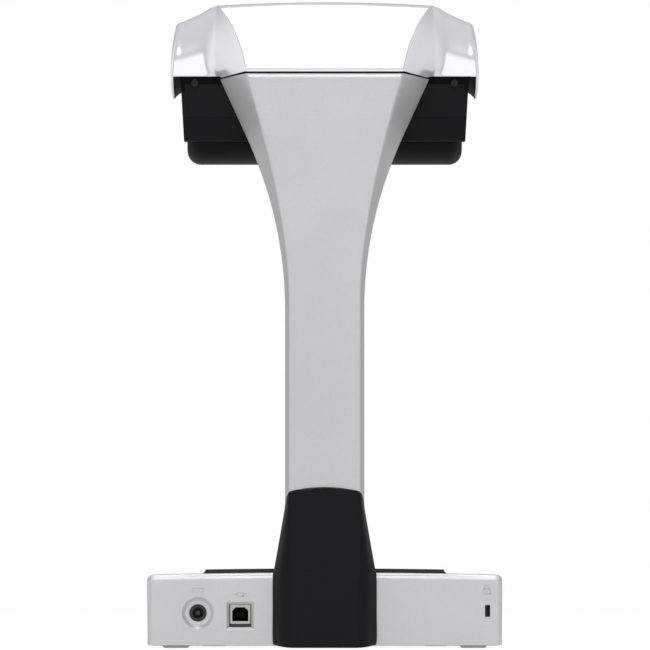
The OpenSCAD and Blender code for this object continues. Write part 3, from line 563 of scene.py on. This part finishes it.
# The room's light from all round, and what each side adds to it from SIDE_START on.
ROOM_LIGHT = 0.40
LEFT_LIGHT, RIGHT_LIGHT = 0.60, 0.40
SIDE_START = 0.55
# Watts of the two softboxes.
REAR_POWER = 9.4
TOP_POWER = 23.0
# How bright the floor is to the camera and to the object, and where it fades out, in metres.
FLOOR_GLOW = 0.92
FLOOR_BOUNCE = 0.66
FLOOR_FADE, FLOOR_EDGE = 0.6, 1.5


def look(thing, target):
    """Turns a light towards a point."""
    direction = Vector(target) - thing.location
    thing.rotation_euler = direction.to_track_quat("-Z", "Y").to_euler()


def softbox(name, place, target, size, power):
    """A rectangular area light that the camera itself doesn't see."""
    data = bpy.data.lights.new(name, "AREA")
    data.shape = "RECTANGLE"
    data.size, data.size_y = size
    data.energy = power
    light = bpy.data.objects.new(name, data)
    light.location = place
    light.visible_camera = False
    bpy.context.scene.collection.objects.link(light)
    look(light, target)


def photo_camera():
    """A long lens straight behind the object."""
    lens = bpy.data.cameras.new("camera")
    lens.sensor_width = 36.0
    lens.lens = CAMERA_LENS
    lens.clip_start, lens.clip_end = 0.1, 60.0
    camera = bpy.data.objects.new("camera", lens)
    camera.location = CAMERA_PLACE
    camera.rotation_euler = (math.pi / 2, 0.0, math.pi)
    bpy.context.scene.collection.objects.link(camera)
    bpy.context.scene.camera = camera
    view = bpy.context.scene.view_settings
    view.view_transform = "Standard"
    view.look = "None"


def room():
    """A white room that the camera sees as white, with a little more light from the sides."""
    world = bpy.data.worlds.new("room")
    world.use_nodes = True
    nodes, links = world.node_tree.nodes, world.node_tree.links
    seen = nodes.new("ShaderNodeLightPath").outputs["Is Camera Ray"]
    direction = nodes.new("ShaderNodeSeparateXYZ")
    links.new(nodes.new("ShaderNodeTexCoord").outputs["Generated"], direction.inputs["Vector"])
    sides = nodes.new("ShaderNodeMath")
    sides.inputs[0].default_value, sides.inputs[1].default_value = ROOM_LIGHT, 0.0
    for side, gain in ((1, LEFT_LIGHT), (-1, RIGHT_LIGHT)):
        towards = nodes.new("ShaderNodeMapRange")
        towards.interpolation_type = "SMOOTHSTEP"
        links.new(direction.outputs["X"], towards.inputs["Value"])
        for socket, value in (("From Min", SIDE_START * side), ("From Max", side), ("To Max", gain)):
            towards.inputs[socket].default_value = value
        total = nodes.new("ShaderNodeMath")
        links.new(towards.outputs["Result"], total.inputs[0])
        links.new(sides.outputs["Value"], total.inputs[1])
        sides = total
    strength = nodes.new("ShaderNodeMapRange")
    links.new(sides.outputs["Value"], strength.inputs["To Min"])
    strength.inputs["To Max"].default_value = 1.0
    links.new(seen, strength.inputs["Value"])
    nodes["Background"].inputs["Color"].default_value = (0.985, 0.99, 1.0, 1.0)
    links.new(strength.outputs["Result"], nodes["Background"].inputs["Strength"])
    bpy.context.scene.world = world


def pale_floor():
    """A pale disc that glows softly and fades out at its edge."""
    floor_mesh = bmesh.new()
    bmesh.ops.create_circle(floor_mesh, cap_ends=True, segments=96, radius=FLOOR_EDGE)
    mesh = bpy.data.meshes.new("floor")
    floor_mesh.to_mesh(mesh)
    floor_mesh.free()
    floor = bpy.data.objects.new("floor", mesh)
    floor.location = (0.0, 0.0, -0.0002)
    bpy.context.scene.collection.objects.link(floor)
    s = Shader("pale_floor")
    s.link(s.mix(s.noise(3.0), (0.24, 0.242, 0.245), (0.26, 0.26, 0.26)), s.bsdf.inputs["Base Color"])
    s.set(Roughness=0.9, Specular_IOR_Level=0.1, Emission_Color=(1.0, 1.0, 1.0, 1.0))
    floor_seen = s.node("ShaderNodeLightPath").outputs["Is Camera Ray"]
    s.link(s.remap(floor_seen, FLOOR_BOUNCE, FLOOR_GLOW), s.bsdf.inputs["Emission Strength"])
    distance = s.node("ShaderNodeVectorMath", operation="LENGTH")
    s.link(s.place, distance.inputs[0])
    s.link(s.remap(distance.outputs["Value"], 1.0, 0.0, FLOOR_FADE, FLOOR_EDGE), s.bsdf.inputs["Alpha"])
    mesh.materials.append(s.material)


photo_camera()
room()
softbox("rear_softbox", (0.0, 2.0, 0.66), (0.0, 0.0, 0.42), (2.2, 1.45), REAR_POWER)
softbox("top_softbox", (0.0, -0.3, 1.6), (0.0, -0.3, 0.36), (0.5, 3.6), TOP_POWER)
pale_floor()


# ---------------------------------------------------------------- sections and lofts
def section(corners, radii, spans, steps=4):
    """Points along a 3D path whose inner corners are rounded, with a fixed number of points."""
    points = [Vector(corner) for corner in corners]
    arcs = []
    for i in range(1, len(points) - 1):
        back = points[i - 1] - points[i]
        on = points[i + 1] - points[i]
        reach = min(radii[i - 1], 0.42 * back.length, 0.42 * on.length)
        start = points[i] + back.normalized() * reach
        end = points[i] + on.normalized() * reach
        ring = []
        for k in range(steps + 1):
            t = k / steps
            ring.append((1 - t) ** 2 * start + 2 * t * (1 - t) * points[i] + t * t * end)
        arcs.append(ring)
    out = [points[0]]
    for i, count in enumerate(spans):
        start = out[-1]
        end = arcs[i][0] if i < len(arcs) else points[-1]
        out += [start.lerp(end, k / count) for k in range(1, count + 1)]
        if i < len(arcs):
            out += arcs[i][1:]
    return [tuple(p) for p in out]


def lofted(name, rows, wall, centre, material, body, replaces, rim=(0.5, 0.5, 0.5), crease=38):
    """A moulded cover: a sheet through rows of points with a wall and a rounded rim."""
    made = shell_bmesh(rows, wall, rim, centre)
    piece = new_piece(name, made, MATERIALS[material], body, replaces)
    piece.data.set_sharp_from_angle(angle=math.radians(crease))
    return piece


# ---------------------------------------------------------------- hood
# The spine and the shoulder are curves of (y, z). The halves are half widths by height, SHOULDER_TOP is
# height by half width, and CHEEK_LOW is the lip of the cheek, (y, z) by the share of the way to the front.
HOOD_ROWS = 64
RIM_Z = SEAM_Z - 2.9
SPINE_REAR = [(HEAD_BACK + 32.9, SEAM_Z), (50, SEAM_Z + 22.6), (28, TOP_Z), (-4, TOP_Z)]
SPINE_FRONT = [(-4, TOP_Z), (-36, TOP_Z), (FRONT_Y + 4, TOP_Z - 9), (FRONT_Y, TOP_Z - 21)]
SHOULDER_REAR = [(HEAD_BACK, RIM_Z), (HEAD_BACK, RIM_Z + 21.5), (14, TOP_Z - 7.6), (-4, TOP_Z - 7)]
SHOULDER_FRONT = [(-4, TOP_Z - 7), (-40, TOP_Z - 6.5), (FRONT_Y + 10, TOP_Z - 11),
                  (FRONT_Y + 0.6, TOP_Z - 23.5)]
CREASE_HALF = [(SEAM_Z, 46.8), (352, 48.9), (362, 52.2), (373, 57.5), (381, 63.4)]
FACET_HALF = [(337.5, 60.5), (341, 62.5), (345, 64.3), (350, 65.4), (357, 65.4), (366, 65.2),
              (376, 64.6), (381, 63.8)]
SHOULDER_TOP = [(63.4, 381), (67.6, 379.6), (71.4, 377.2), (76.7, 374.6), (82, 372.3), (86, 370.4)]
CHEEK_LOW = [(0, 3, 325.3), (0.2, -6, 326.2), (0.4, -18, 327.2), (0.6, -40, 328.2), (0.8, -54, 329.2),
             (1, -62, 332.5)]
CHEEK_HALF = [(325, 90.0), (330, 90.9), (337, 91.3), (342, 91.3), (352, 90.8), (364, 89.3), (370, 88.6)]
CREASE_DROP = 2.0
CORNER_LOW_R, CORNER_TOP_R = 2.0, 4.6
SPINE_TOP_HALF, SHOULDER_TOP_HALF = 63.4, 86.0
SHOULDER_FALL = 7.0
HOLLOW_WIDTH, HOLLOW_DEPTH, HOLLOW_FOOT = 8.0, 4.0, 3.0
FACET_BEND = 1.6
SHOULDER_COLUMNS, CORNER_COLUMNS, CHEEK_COLUMNS = 14, 6, 12
HOOD_WALL = 1.6


def over(rear, front, t):
    """A rail that runs up the back and over the top to the front, as t goes from 0 to 1."""
    return bezier(rear, 2 * t) if t < 0.5 else bezier(front, 2 * t - 1)


def shoulder_point(t, x, facet):
    """The shoulder at distance x from the middle; it turns up in a hollow beside the facet."""
    y, z = over(SHOULDER_REAR, SHOULDER_FRONT, t)
    share = (x - facet) / (SHOULDER_TOP_HALF - facet)
    across = lerp(SPINE_TOP_HALF, SHOULDER_TOP_HALF, share)
    top = track(SHOULDER_TOP, across)[0]
    if t < 0.5:
        z = RIM_Z + (z - RIM_Z) * (top - RIM_Z) / (TOP_Z - SHOULDER_FALL - RIM_Z)
        hollow = max(0.0, 1 - (x - facet) / HOLLOW_WIDTH)
        depth = HOLLOW_DEPTH * (1 - smooth(2 * t)) + HOLLOW_FOOT * max(0.0, 1 - t / 0.08)
        return (x, y + depth * hollow * hollow, z)
    spine_y, spine_z = bezier(SPINE_FRONT, 2 * t - 1)
    fall = (TOP_Z - 2 - top) * lerp(1.0, 0.3, smooth(2 * t - 1))
    return (x, lerp(spine_y, y, smooth((x - facet) / 12)), spine_z - CREASE_DROP - fall)


def hood_half_row(t):
    """Half a row of the hood: spine, facet, shoulder, rounded corner and cheek."""
    y, z = over(SPINE_REAR, SPINE_FRONT, t)
    drop = CREASE_DROP * smooth(2 * t)
    crease = track(CREASE_HALF, z - drop)[0] if t < 0.5 else SPINE_TOP_HALF + (-4 - y) * 0.03
    shoulder_z = shoulder_point(t, 65.0, 65.0)[2]
    facet = max(crease + 0.3, track(FACET_HALF, shoulder_z)[0]) if t < 0.5 else crease + 0.3
    outer = shoulder_point(t, facet, facet)
    if t < 0.12:
        outer = (facet, outer[1], outer[2] - 0.8 * (1 - t / 0.12))
    first = shoulder_point(t, facet + FACET_BEND, facet)
    corner = lerp(CORNER_LOW_R, CORNER_TOP_R, smooth(t / 0.4))
    shoulder_end = track(CHEEK_HALF, shoulder_point(t, 84.0, facet)[2])[0] - corner
    half = section([(0, y, z - drop), (crease, y, z - drop), outer, first], [1.0, 1.2], [10, 4, 2])
    half = [(px, py, pz + drop * (1 - min(1.0, px / crease) ** 2)) for px, py, pz in half]
    for k in range(1, SHOULDER_COLUMNS + 1):
        x = lerp(facet + FACET_BEND, shoulder_end, k / SHOULDER_COLUMNS)
        half.append(shoulder_point(t, x, facet))
    ahead = shoulder_point(min(1.0, t + 0.01), shoulder_end, facet)
    behind = shoulder_point(max(0.0, t - 0.01), shoulder_end, facet)
    along = Vector((ahead[1] - behind[1], ahead[2] - behind[2])).normalized()
    inward = Vector((-along.y, along.x))
    edge = Vector(half[-1][1:])
    for k in range(1, CORNER_COLUMNS + 1):
        a = math.radians(90 * k / CORNER_COLUMNS)
        place = edge + inward * corner * (1 - math.cos(a))
        half.append((shoulder_end + corner * math.sin(a), place.x, place.y))
    top = Vector(half[-1][1:])
    low = Vector(track(CHEEK_LOW, t))
    for k in range(1, CHEEK_COLUMNS + 1):
        place = top.lerp(low, k / CHEEK_COLUMNS)
        half.append((track(CHEEK_HALF, place.y)[0], place.x, place.y))
    return half


def hood():
    """The glossy cover of the head, from the seam at the back to the front lip."""
    rows = [mirrored(hood_half_row(i / HOOD_ROWS)) for i in range(HOOD_ROWS + 1)]
    lofted("hood", rows, HOOD_WALL, (0, -10, 340), "hood_silver", "stand", ["head_top_cover"],
           (0.2, 0.5, 0.4))


# ---------------------------------------------------------------- arm
SEAM_GAP, SEAM_DROP = 1.0, 3.7
TOP_BEVEL = 2.7
ARM_WALL, ARM_LEVELS = 2.2, 100
LID_LOW, LID_TOP, LID_LEVELS = 45.0, 299.6, 80
FOOT_FALL = 12.0
FLARE_Z, FLARE_R, FLARE_ANGLE = 200.0, 240.0, math.radians(22.7)
CREASE_CURVE = [(ARM_PANEL, 206.0), (ARM_PANEL, 236.0), (28.8, 281.4), (46.8, SEAM_Z)]
BOOT_CROWN = 2.6
BOOT_TOP = BOOT_HIGH.z - BOOT_CROWN


def arm_back(z):
    """Where the arm's back panel is at a height: a shallow bow."""
    return BACK_Y - 11 - (z - BOW_Z) ** 2 / 3800


def arm_front(z):
    """Where the arm's silver cover ends towards the front."""
    return arm_back(z) - ARM_DEPTH


def arm_edge(z):
    """Half width where the side facet ends: straight, then an arc, then its tangent."""
    rise = z - FLARE_Z
    bend = FLARE_R * math.sin(FLARE_ANGLE)
    if rise <= 0:
        return ARM_HALF
    if rise < bend:
        return ARM_HALF + FLARE_R - math.sqrt(FLARE_R**2 - rise**2)
    return ARM_HALF + FLARE_R * (1 - math.cos(FLARE_ANGLE)) + (rise - bend) * math.tan(FLARE_ANGLE)


def arm_crease(z):
    """Half width of the back panel, read from its curve by halving the range of t."""
    low, high = 0.0, 1.0
    for _ in range(24):
        t = (low + high) / 2
        low, high = (t, high) if bezier(CREASE_CURVE, t)[1] < z else (low, t)
    return bezier(CREASE_CURVE, low)[0]


def arch(x):
    """How far the top edge of the boot rises towards its middle."""
    return BOOT_CROWN * max(0.0, 1 - (x / ARM_PANEL) ** 2)


def arm_row(z):
    """The arm's outline at a height, from one front edge round the back to the other."""
    low, top = BOOT_TOP + 0.4, SEAM_Z - SEAM_GAP
    crease, edge, back, front = arm_crease(z), arm_edge(z), arm_back(z), arm_front(z)
    half = section([(0, back, z), (crease, back, z), (edge, front, z)], [0.9], [8, 8], 5)
    bevel = max(0.0, z - top + TOP_BEVEL)
    half = [(x, y - 0.5 * bevel * smooth((y - front) / 16 - 1), z) for x, y, z in half]
    at_foot = 1 - smooth((z - low) / 16)
    at_seam = max(0.0, (z - 300) / (SEAM_Z - 300))
    out = []
    for x, y, _ in half:
        away = (arm_back(z) - y) / ARM_DEPTH
        out.append((x, y, z + (arch(x) - FOOT_FALL * away) * at_foot - SEAM_DROP * at_seam * away))
    return mirrored(out)


def arm():
    """The silver cover from the boot up to the hood, with a bevel along its top edge."""
    low, top = BOOT_TOP + 0.4, SEAM_Z - SEAM_GAP
    levels = [lerp(low, top - TOP_BEVEL, i / ARM_LEVELS) for i in range(ARM_LEVELS + 1)]
    levels += [top - TOP_BEVEL * (1 - k / 3) for k in (1, 2, 3)]
    rows = [arm_row(z) for z in levels]
    lofted("arm_cover", rows, ARM_WALL, (0, 40, 220), "arm_silver", "stand", ["arm_rear_cover"],
           (0.3, 0.3, 0.35), 30)


def arm_front_lid():
    """The black cover on the front of the arm, a shallow tray with bevelled sides."""
    rows = []
    for i in range(LID_LEVELS + 1):
        z = lerp(LID_LOW, LID_TOP, i / LID_LEVELS)
        edge, front = arm_edge(z) - 0.2, arm_front(z) - 0.9
        corners = [(0, front - 5, z), (edge - 3.5, front - 5, z), (edge, front - 1.4, z), (edge, front, z)]
        half = section(corners, [1.4, 0.8], [6, 2, 1])
        rows.append(mirrored(half))
    lofted("arm_front_lid", rows, 2.0, (0, 60, 170), "black_shell", "stand", ["arm_front_cover"])


# ---------------------------------------------------------------- boot
BOOT_SIDE = BAR_BACK + 1.2
BOOT_SPLIT = BAR_TOP + 0.6
BOOT_WALL = 1.9
FOOT_LEVELS, SLEEVE_LEVELS = 24, 34
# Height, half width of the back's flat, full half width, and the depths of the back and of the sides.
BOOT_KEYS = [
    (0.4, 18.9, 30.0, BACK_Y - 0.6, BOOT_SIDE), (3, 19.3, 30.8, BACK_Y - 0.3, BOOT_SIDE),
    (24, 20, 30.8, BACK_Y - 0.3, BOOT_SIDE), (40, 21, 30.8, BACK_Y - 1.1, BOOT_SIDE),
    (45, 21.5, 30.6, BACK_Y - 1.9, BOOT_SIDE), (50, 21.6, 29.7, BACK_Y - 2.9, BOOT_SIDE - 1),
    (66, 21.6, 26.75, BACK_Y - 6.1, BOOT_SIDE - 3.2), (85, 21.4, 23.3, BACK_Y - 10, BOOT_SIDE - 6.2),
    (BOOT_TOP, 21.3, 22.3, BACK_Y - 11.4, BOOT_SIDE - 7.2)]


def boot_outline(z, sleeve):
    """Half of the boot's outline at one height, with a full, rounded side between two soft edges."""
    panel, half_width, back, side = track(BOOT_KEYS, z)
    end = (ARM_HALF + 0.2, arm_front(z)) if sleeve else (half_width - 0.2, BAR_BACK + 0.3)
    full = (lerp(panel, half_width, 0.52), lerp(back, side, 0.27))
    corners = [(0, back, z), (panel, back, z), (*full, z), (half_width, side, z), (*end, z)]
    half = section(corners, [1.8, 5.0, 2.6], [8, 2, 3, 6], 5)
    return [(x, y + 0.3 * (1 - (x / half_width) ** 2), z) for x, y, z in half]


def boot_row(z, sleeve):
    """The outline, raised in an arch over the back and falling along the sides near the top."""
    level = boot_outline(z, sleeve)
    panel, half_width, back, _ = track(BOOT_KEYS, z)
    near_top = smooth((z - BOOT_SPLIT) / (BOOT_TOP - BOOT_SPLIT))
    out = []
    for i, (x, y, _) in enumerate(level):
        fall = FOOT_FALL * near_top * max(0.0, (back - y) / ARM_DEPTH) if sleeve else 0.0
        place = boot_outline(z - fall, sleeve)[i]
        lift = arch(x) * smooth((z - BOOT_TOP + 14) / 14)
        foot = 1.5 * max(0.0, (abs(x) - panel) / (half_width - panel)) ** 2 * (1 - smooth(z / 8))
        out.append((place[0], place[1], z - fall + lift + foot))
    return mirrored(out)


def boot():
    """The boot in two lofts: the foot that stands behind the bar, and the sleeve round the arm."""
    foot, sleeve = [], []
    for i in range(FOOT_LEVELS + 1):
        foot.append(boot_row(lerp(BOOT_LOW.z, BOOT_SPLIT, i / FOOT_LEVELS), False))
    for i in range(SLEEVE_LEVELS + 1):
        sleeve.append(boot_row(lerp(BOOT_SPLIT - 0.03, BOOT_TOP, i / SLEEVE_LEVELS), True))
    centre = (0, 50, 45)
    lofted("boot_foot", foot, BOOT_WALL, centre, "black_shell", "stand", [], (0.5, 0.02, 0.5))
    lofted("boot_sleeve", sleeve, BOOT_WALL, centre, "black_shell", "stand", ["arm_boot"],
           (0.02, 0.4, 0.5))


# ---------------------------------------------------------------- parts finished from their CAD shapes
FINISH_ANGLE = 32


def cad_copy(node):
    """The CAD node's mesh, welded and with its flat faces whole again."""
    made = bmesh.new()
    made.from_mesh(frame["nodes"][node].data)
    bmesh.ops.remove_doubles(made, verts=made.verts, dist=0.004 * MM)
    bmesh.ops.dissolve_limit(made, angle_limit=math.radians(0.6), verts=made.verts, edges=made.edges)
    return made


def finished(node, width, cuts=(), name=None, shape=None, material=None):
    """Replaces a CAD node with the same shape, cut in detail and with its edges rounded."""
    made = cad_copy(node)
    if shape:
        shape(made)
    mesh = carved(made, *cuts) if cuts else made
    row = next(r for r in frame["record"]["subparts"] if r["node"] == node)
    slot = row["material_slot"]
    body = next(b for b, nodes in frame["record"]["behaviour"]["bodies"].items() if node in nodes)
    piece = new_piece(name or node + "_body", mesh, MATERIALS[material or slot], body, [node])
    soften(piece, width, 2, FINISH_ANGLE)


# ---------------------------------------------------------------- base
# The top sags by SAG to its ends, which are round, and the bar's ends step in below STEP_Z.
SAG = 1.3
BASE_END_R = 3.4
STEP_Z, STEP_IN = 28.0, 0.5
# The middles of the power inlet, the data socket and the security slot, seen from behind.
JACK_X, JACK_Z = 74.9, 21.0
DISH_R = 9.7
USB_X, USB_Z = 49.9, 19.3
LOCK_X = -95.9


def sliced(made, axis, places):
    """Cuts a mesh's faces at planes across an axis, so that it can bend there."""
    for place in places:
        normal = Vector(AXES[axis](0, 0, 1))
        bmesh.ops.bisect_plane(made, geom=made.verts[:] + made.edges[:] + made.faces[:], dist=1e-6,
                               plane_co=normal * place * MM, plane_no=normal)


def top_fall(x):
    """How far the top of the base is under its middle: a slight sag, then a round end."""
    near_end = max(0.0, abs(x) - (BASE_HALF - BASE_END_R))
    return SAG * (x / BASE_HALF) ** 2 + BASE_END_R - math.sqrt(max(0.0, BASE_END_R**2 - near_end**2))


def sliced_across(made):
    """Cuts a part of the base so that its top can follow top_fall."""
    arcs = [BASE_HALF - BASE_END_R * (1 - math.sin(math.radians(15 * k))) for k in range(1, 6)]
    places = [10 * k for k in range(1, 11)] + arcs
    sliced(made, "x", [0.0] + [side * x for side in (-1, 1) for x in places])


def bend_bar(made):
    """The bar's top falls a little to its round ends, and its foot steps in."""
    sliced_across(made)
    sliced(made, "z", [STEP_Z - 0.5, STEP_Z])
    for vert in made.verts:
        x, z = vert.co.x / MM, vert.co.z / MM
        vert.co.z -= top_fall(x) * smooth((z - 34) / 5) * MM
        if z < STEP_Z - 0.25 and abs(x) > BASE_HALF - 1:
            vert.co.x -= math.copysign(STEP_IN, x) * MM


def bend_deck(made):
    """The deck follows the bar's sag where it meets it, and stays flat round the buttons."""
    sliced_across(made)
    sliced(made, "y", [0.0, 6.0, 12.0, 18.0, 24.0])
    for vert in made.verts:
        x, y, z = vert.co / MM
        vert.co.z -= top_fall(x) * smooth(y / 24) * smooth((z - 30) / 6) * MM


def jack_dish():
    """The smooth bowl round the power inlet."""
    profile = [(DISH_R, BAR_BACK - 0.02)]
    for k in range(1, 9):
        a = math.radians(90 * k / 8)
        profile.append((DISH_R - 2.4 * (1 - math.cos(a)), BAR_BACK - 1.9 * math.sin(a)))
    profile += [(5.5, BAR_BACK - 1.95), (5.15, BAR_BACK - 2.1)]
    profile += [(5.15, BAR_BACK - 2.9), (DISH_R, BAR_BACK - 2.9)]
    made = lathe(profile, (JACK_X, 0, JACK_Z))
    new_piece("jack_dish", made, MATERIALS["arm_silver"], "stand", [])


def usb_shroud():
    """A dark frame round the data socket, just inside its opening."""
    made = slab((USB_X - 7.4, USB_X + 7.4), (BAR_BACK - 4.6, BAR_BACK - 4.0), (USB_Z - 7.6, USB_Z + 7.6))
    port_low, port_high = node_box("usb_port")
    hole = slab((port_low.x, port_high.x), (BAR_BACK - 6, BAR_BACK - 3), (port_low.z, port_high.z))
    mesh = carved(made, hole)
    piece = new_piece("usb_shroud", mesh, MATERIALS["liner_grey"], "stand", [])
    soften(piece, 0.1, 1)


def stroke(points, width):
    """A raised line along a path on the bar's back face."""
    path = [Vector(p) for p in points]
    left, right = [], []
    for i, p in enumerate(path):
        along = (path[min(i + 1, len(path) - 1)] - path[max(i - 1, 0)]).normalized()
        across = Vector((-along.y, along.x)) * width / 2
        left.append(tuple(p + across))
        right.append(tuple(p - across))
    return prism(left + right[::-1], "y", (BAR_BACK - 0.3, BAR_BACK + 0.16))


def ring(x, z, r, first, last, steps=12):
    """Points along an arc, from one angle to another, in degrees."""
    angles = [math.radians(lerp(first, last, k / steps)) for k in range(steps + 1)]
    return [(x + r * math.cos(a), z + r * math.sin(a)) for a in angles]


def direct_current_mark():
    """A line over three dashes."""
    top = JACK_Z + 14.6
    lines = [(-3.4, 3.4, top)] + [(k - 0.75, k + 0.75, top - 1.7) for k in (-2.65, 0, 2.65)]
    return [stroke([(JACK_X + first, z), (JACK_X + last, z)], 0.55) for first, last, z in lines]


def plug_mark():
    """A plug with a round back, two prongs and its lead."""
    z = USB_Z + 12.6
    back = ring(USB_X + 0.8, z, 1.2, -90, 90)
    body = [(USB_X - 1.6, z - 1.2), (USB_X + 0.8, z - 1.2)] + back
    body += [(USB_X - 1.6, z + 1.2), (USB_X - 1.6, z - 1.2)]
    lines = [body, [(USB_X + 2.0, z), (USB_X + 4.4, z)]]
    lines += [[(USB_X - 3.4, z + k), (USB_X - 1.6, z + k)] for k in (-0.6, 0.6)]
    return [stroke(line, 0.5) for line in lines]


def padlock_mark():
    """A padlock with its shackle and keyhole."""
    low = STEP_Z + 4.2
    high = low + 3.0
    body = [(LOCK_X - 2.1, low), (LOCK_X + 2.1, low), (LOCK_X + 2.1, high), (LOCK_X - 2.1, high),
            (LOCK_X - 2.1, low)]
    shackle = [(LOCK_X + 1.3, high)] + ring(LOCK_X, low + 4.1, 1.3, 0, 180) + [(LOCK_X - 1.3, high)]
    keyhole = stroke([(LOCK_X, low + 1.0), (LOCK_X, low + 2.0)], 0.6)
    return [stroke(body, 0.5), stroke(shackle, 0.5), keyhole]


def icons():
    """Plain raised marks over the three sockets."""
    for mark in (direct_current_mark, plug_mark, padlock_mark):
        made = merged(*mark())
        new_piece(mark.__name__, made, MATERIALS["arm_silver"], "stand", [])


# ---------------------------------------------------------------- head
SIDES = ((1, "left"), (-1, "right"))
VISOR_RISE, VISOR_LEAN = 8.2, 4.4
HOUSE_SEAM = (313.9, 314.4)
LEAN_FROM, LEAN_SLOPE = 300, 31


def lean_out(made):
    """The housing's ends lean out a little more towards the top than the CAD shape does."""
    for vert in made.verts:
        x, z = vert.co.x / MM, vert.co.z / MM
        if abs(x) > 80:
            vert.co.x += math.copysign(max(0.0, (z - LEAN_FROM) / LEAN_SLOPE), x) * MM


def housing():
    """The black housing, with a moulding seam across its back and a thin groove at each side of the arm."""
    cuts = [slab((-100, 100), (HOUSE_BACK - 0.5, HOUSE_BACK + 2), HOUSE_SEAM)]
    for side in (-1, 1):
        outline = [(side * 56.9, 329.0), (side * 57.5, 329.0), (side * 58.0, 321.0), (side * 56.3, 321.0)]
        cuts.append(prism(outline, "y", (HOUSE_BACK - 0.6, HOUSE_BACK + 2)))
    finished("head_housing", 0.35, cuts=cuts, name="housing", shape=lean_out)


def raise_visor(made):
    """The visor reaches up behind the front lip of the hood, so that no gap shows between them."""
    for vert in made.verts:
        if vert.co.z > SEAM_Z * MM:
            vert.co.z += VISOR_RISE * MM
            vert.co.y += VISOR_LEAN * MM


def cheek_shade_liners():
    """The folded edge inside each cheek of the hood, seen from behind beside the housing. Its dark grey is
    painted shade: it stands in for the hood's silver inside, in shade.
    """
    corners = [(90.2, 340.0), (84.4, 340.0), (84.4, 329.6), (86.8, 327.9), (89.0, 325.9), (89.8, 327.0)]
    outline = outline_points(corners, [0, 0, 0.4, 2.0, 0.4, 0.8], 5)
    for side, word in SIDES:
        made = prism([(side * x, z) for x, z in outline], "y", (2.2, 5.2))
        piece = new_piece("cheek_shade_liner_" + word, made, MATERIALS["liner_grey"], "stand", [])
        soften(piece, 0.3, 3, 30)


def seam_shadow_liners():
    """Dark strips behind the two seams that are seen from behind, so that no light comes through. Their
    near-black colour is painted shadow in the seams.
    """
    corners = [(60, 339.2), (86.4, 339.2), (84.8, 329.6), (83.0, 329.4), (83.0, 334.0), (60, 334.0)]
    for side, word in SIDES:
        outline = [(side * x, z) for x, z in corners]
        made = prism(outline, "y", (HOUSE_BACK - 3, HOUSE_BACK + 0.25))
        piece = new_piece("shadow_flange_" + word, made, MATERIALS["shadow_black"], "stand", [])
        soften(piece, 0.15, 1)
    rows = []
    for z in (334.0, 339.0, 343.0, 347.0):
        crease, back = arm_crease(min(z, SEAM_Z)) - 3.0, arm_back(z) - 3.2
        edge, front = arm_edge(min(z, SEAM_Z)) - 3.0, arm_front(z) - 3.2
        half = [(crease * k / 4, back, z) for k in range(5)]
        half += [(lerp(crease, edge, k / 4), lerp(back, front, k / 4), z - SEAM_DROP * k / 4)
                 for k in range(1, 5)]
        rows.append(mirrored(half))
    lofted("seam_shadow_liner", rows, 0.8, (0, 30, 340), "shadow_black", "stand", [], (0.1, 0.1, 0.1))


# The rounding of each small part's edges, in millimetres.
FINISH = {
    "scan_button": 0.35, "stop_button": 0.35,
    "usb_port": 0.12, "dc_jack": 0.2, "lock_plate": 0.2,
    "base_tray": 0.4, "rubber_feet": 0.4, "base_screws": 0.2, "head_chassis": 0.25, "motor_bracket": 0.25,
    "drive_motor": 0.4, "arm_frame": 0.25, "base_weight": 0.6, "heat_sink": 0.15,
    "drum_end_left": 0.3, "drum_end_right": 0.3, "optics_frame": 0.3, "lens_barrel": 0.3,
    "idler_gear": 0.08, "motor_pinion": 0.06, "drive_sector": 0.08,
    "axle_bush_left": 0.2, "axle_bush_right": 0.2, "home_sensor": 0.2,
    "lamp_lenses": 0.3, "window_glass": 0.3,
}


hood()
arm()
arm_front_lid()
boot()
housing()
cheek_shade_liners()
seam_shadow_liners()
finished("base_rear_cover", 0.3, name="base_bar", shape=bend_bar)
finished("base_front_cover", 0.4, name="base_deck", shape=bend_deck, material="deck_black")
finished("front_visor", 0.5, shape=raise_visor)
# painted shade: the inlet's pin takes near-black metal for the shade inside the jack.
finished("dc_pin", 0.12, material="pin_painted_shade")
# painted shade: the socket's tongue sits in shade and takes the near-black shadow_black in place of its own
# colour.
finished("usb_tongue", 0.2, material="shadow_black")
# painted shade: the drum takes the darker copy of the black for the shade under the head.
finished("drum_shell", 0.35, material="drum_black_painted_shade")
# painted shade: the screws take near-black metal for the shadow under the hood.
finished("head_screws", 0.2, material="screw_painted_shade")
jack_dish()
usb_shroud()
icons()
for part, bevel in FINISH.items():
    finished(part, bevel)
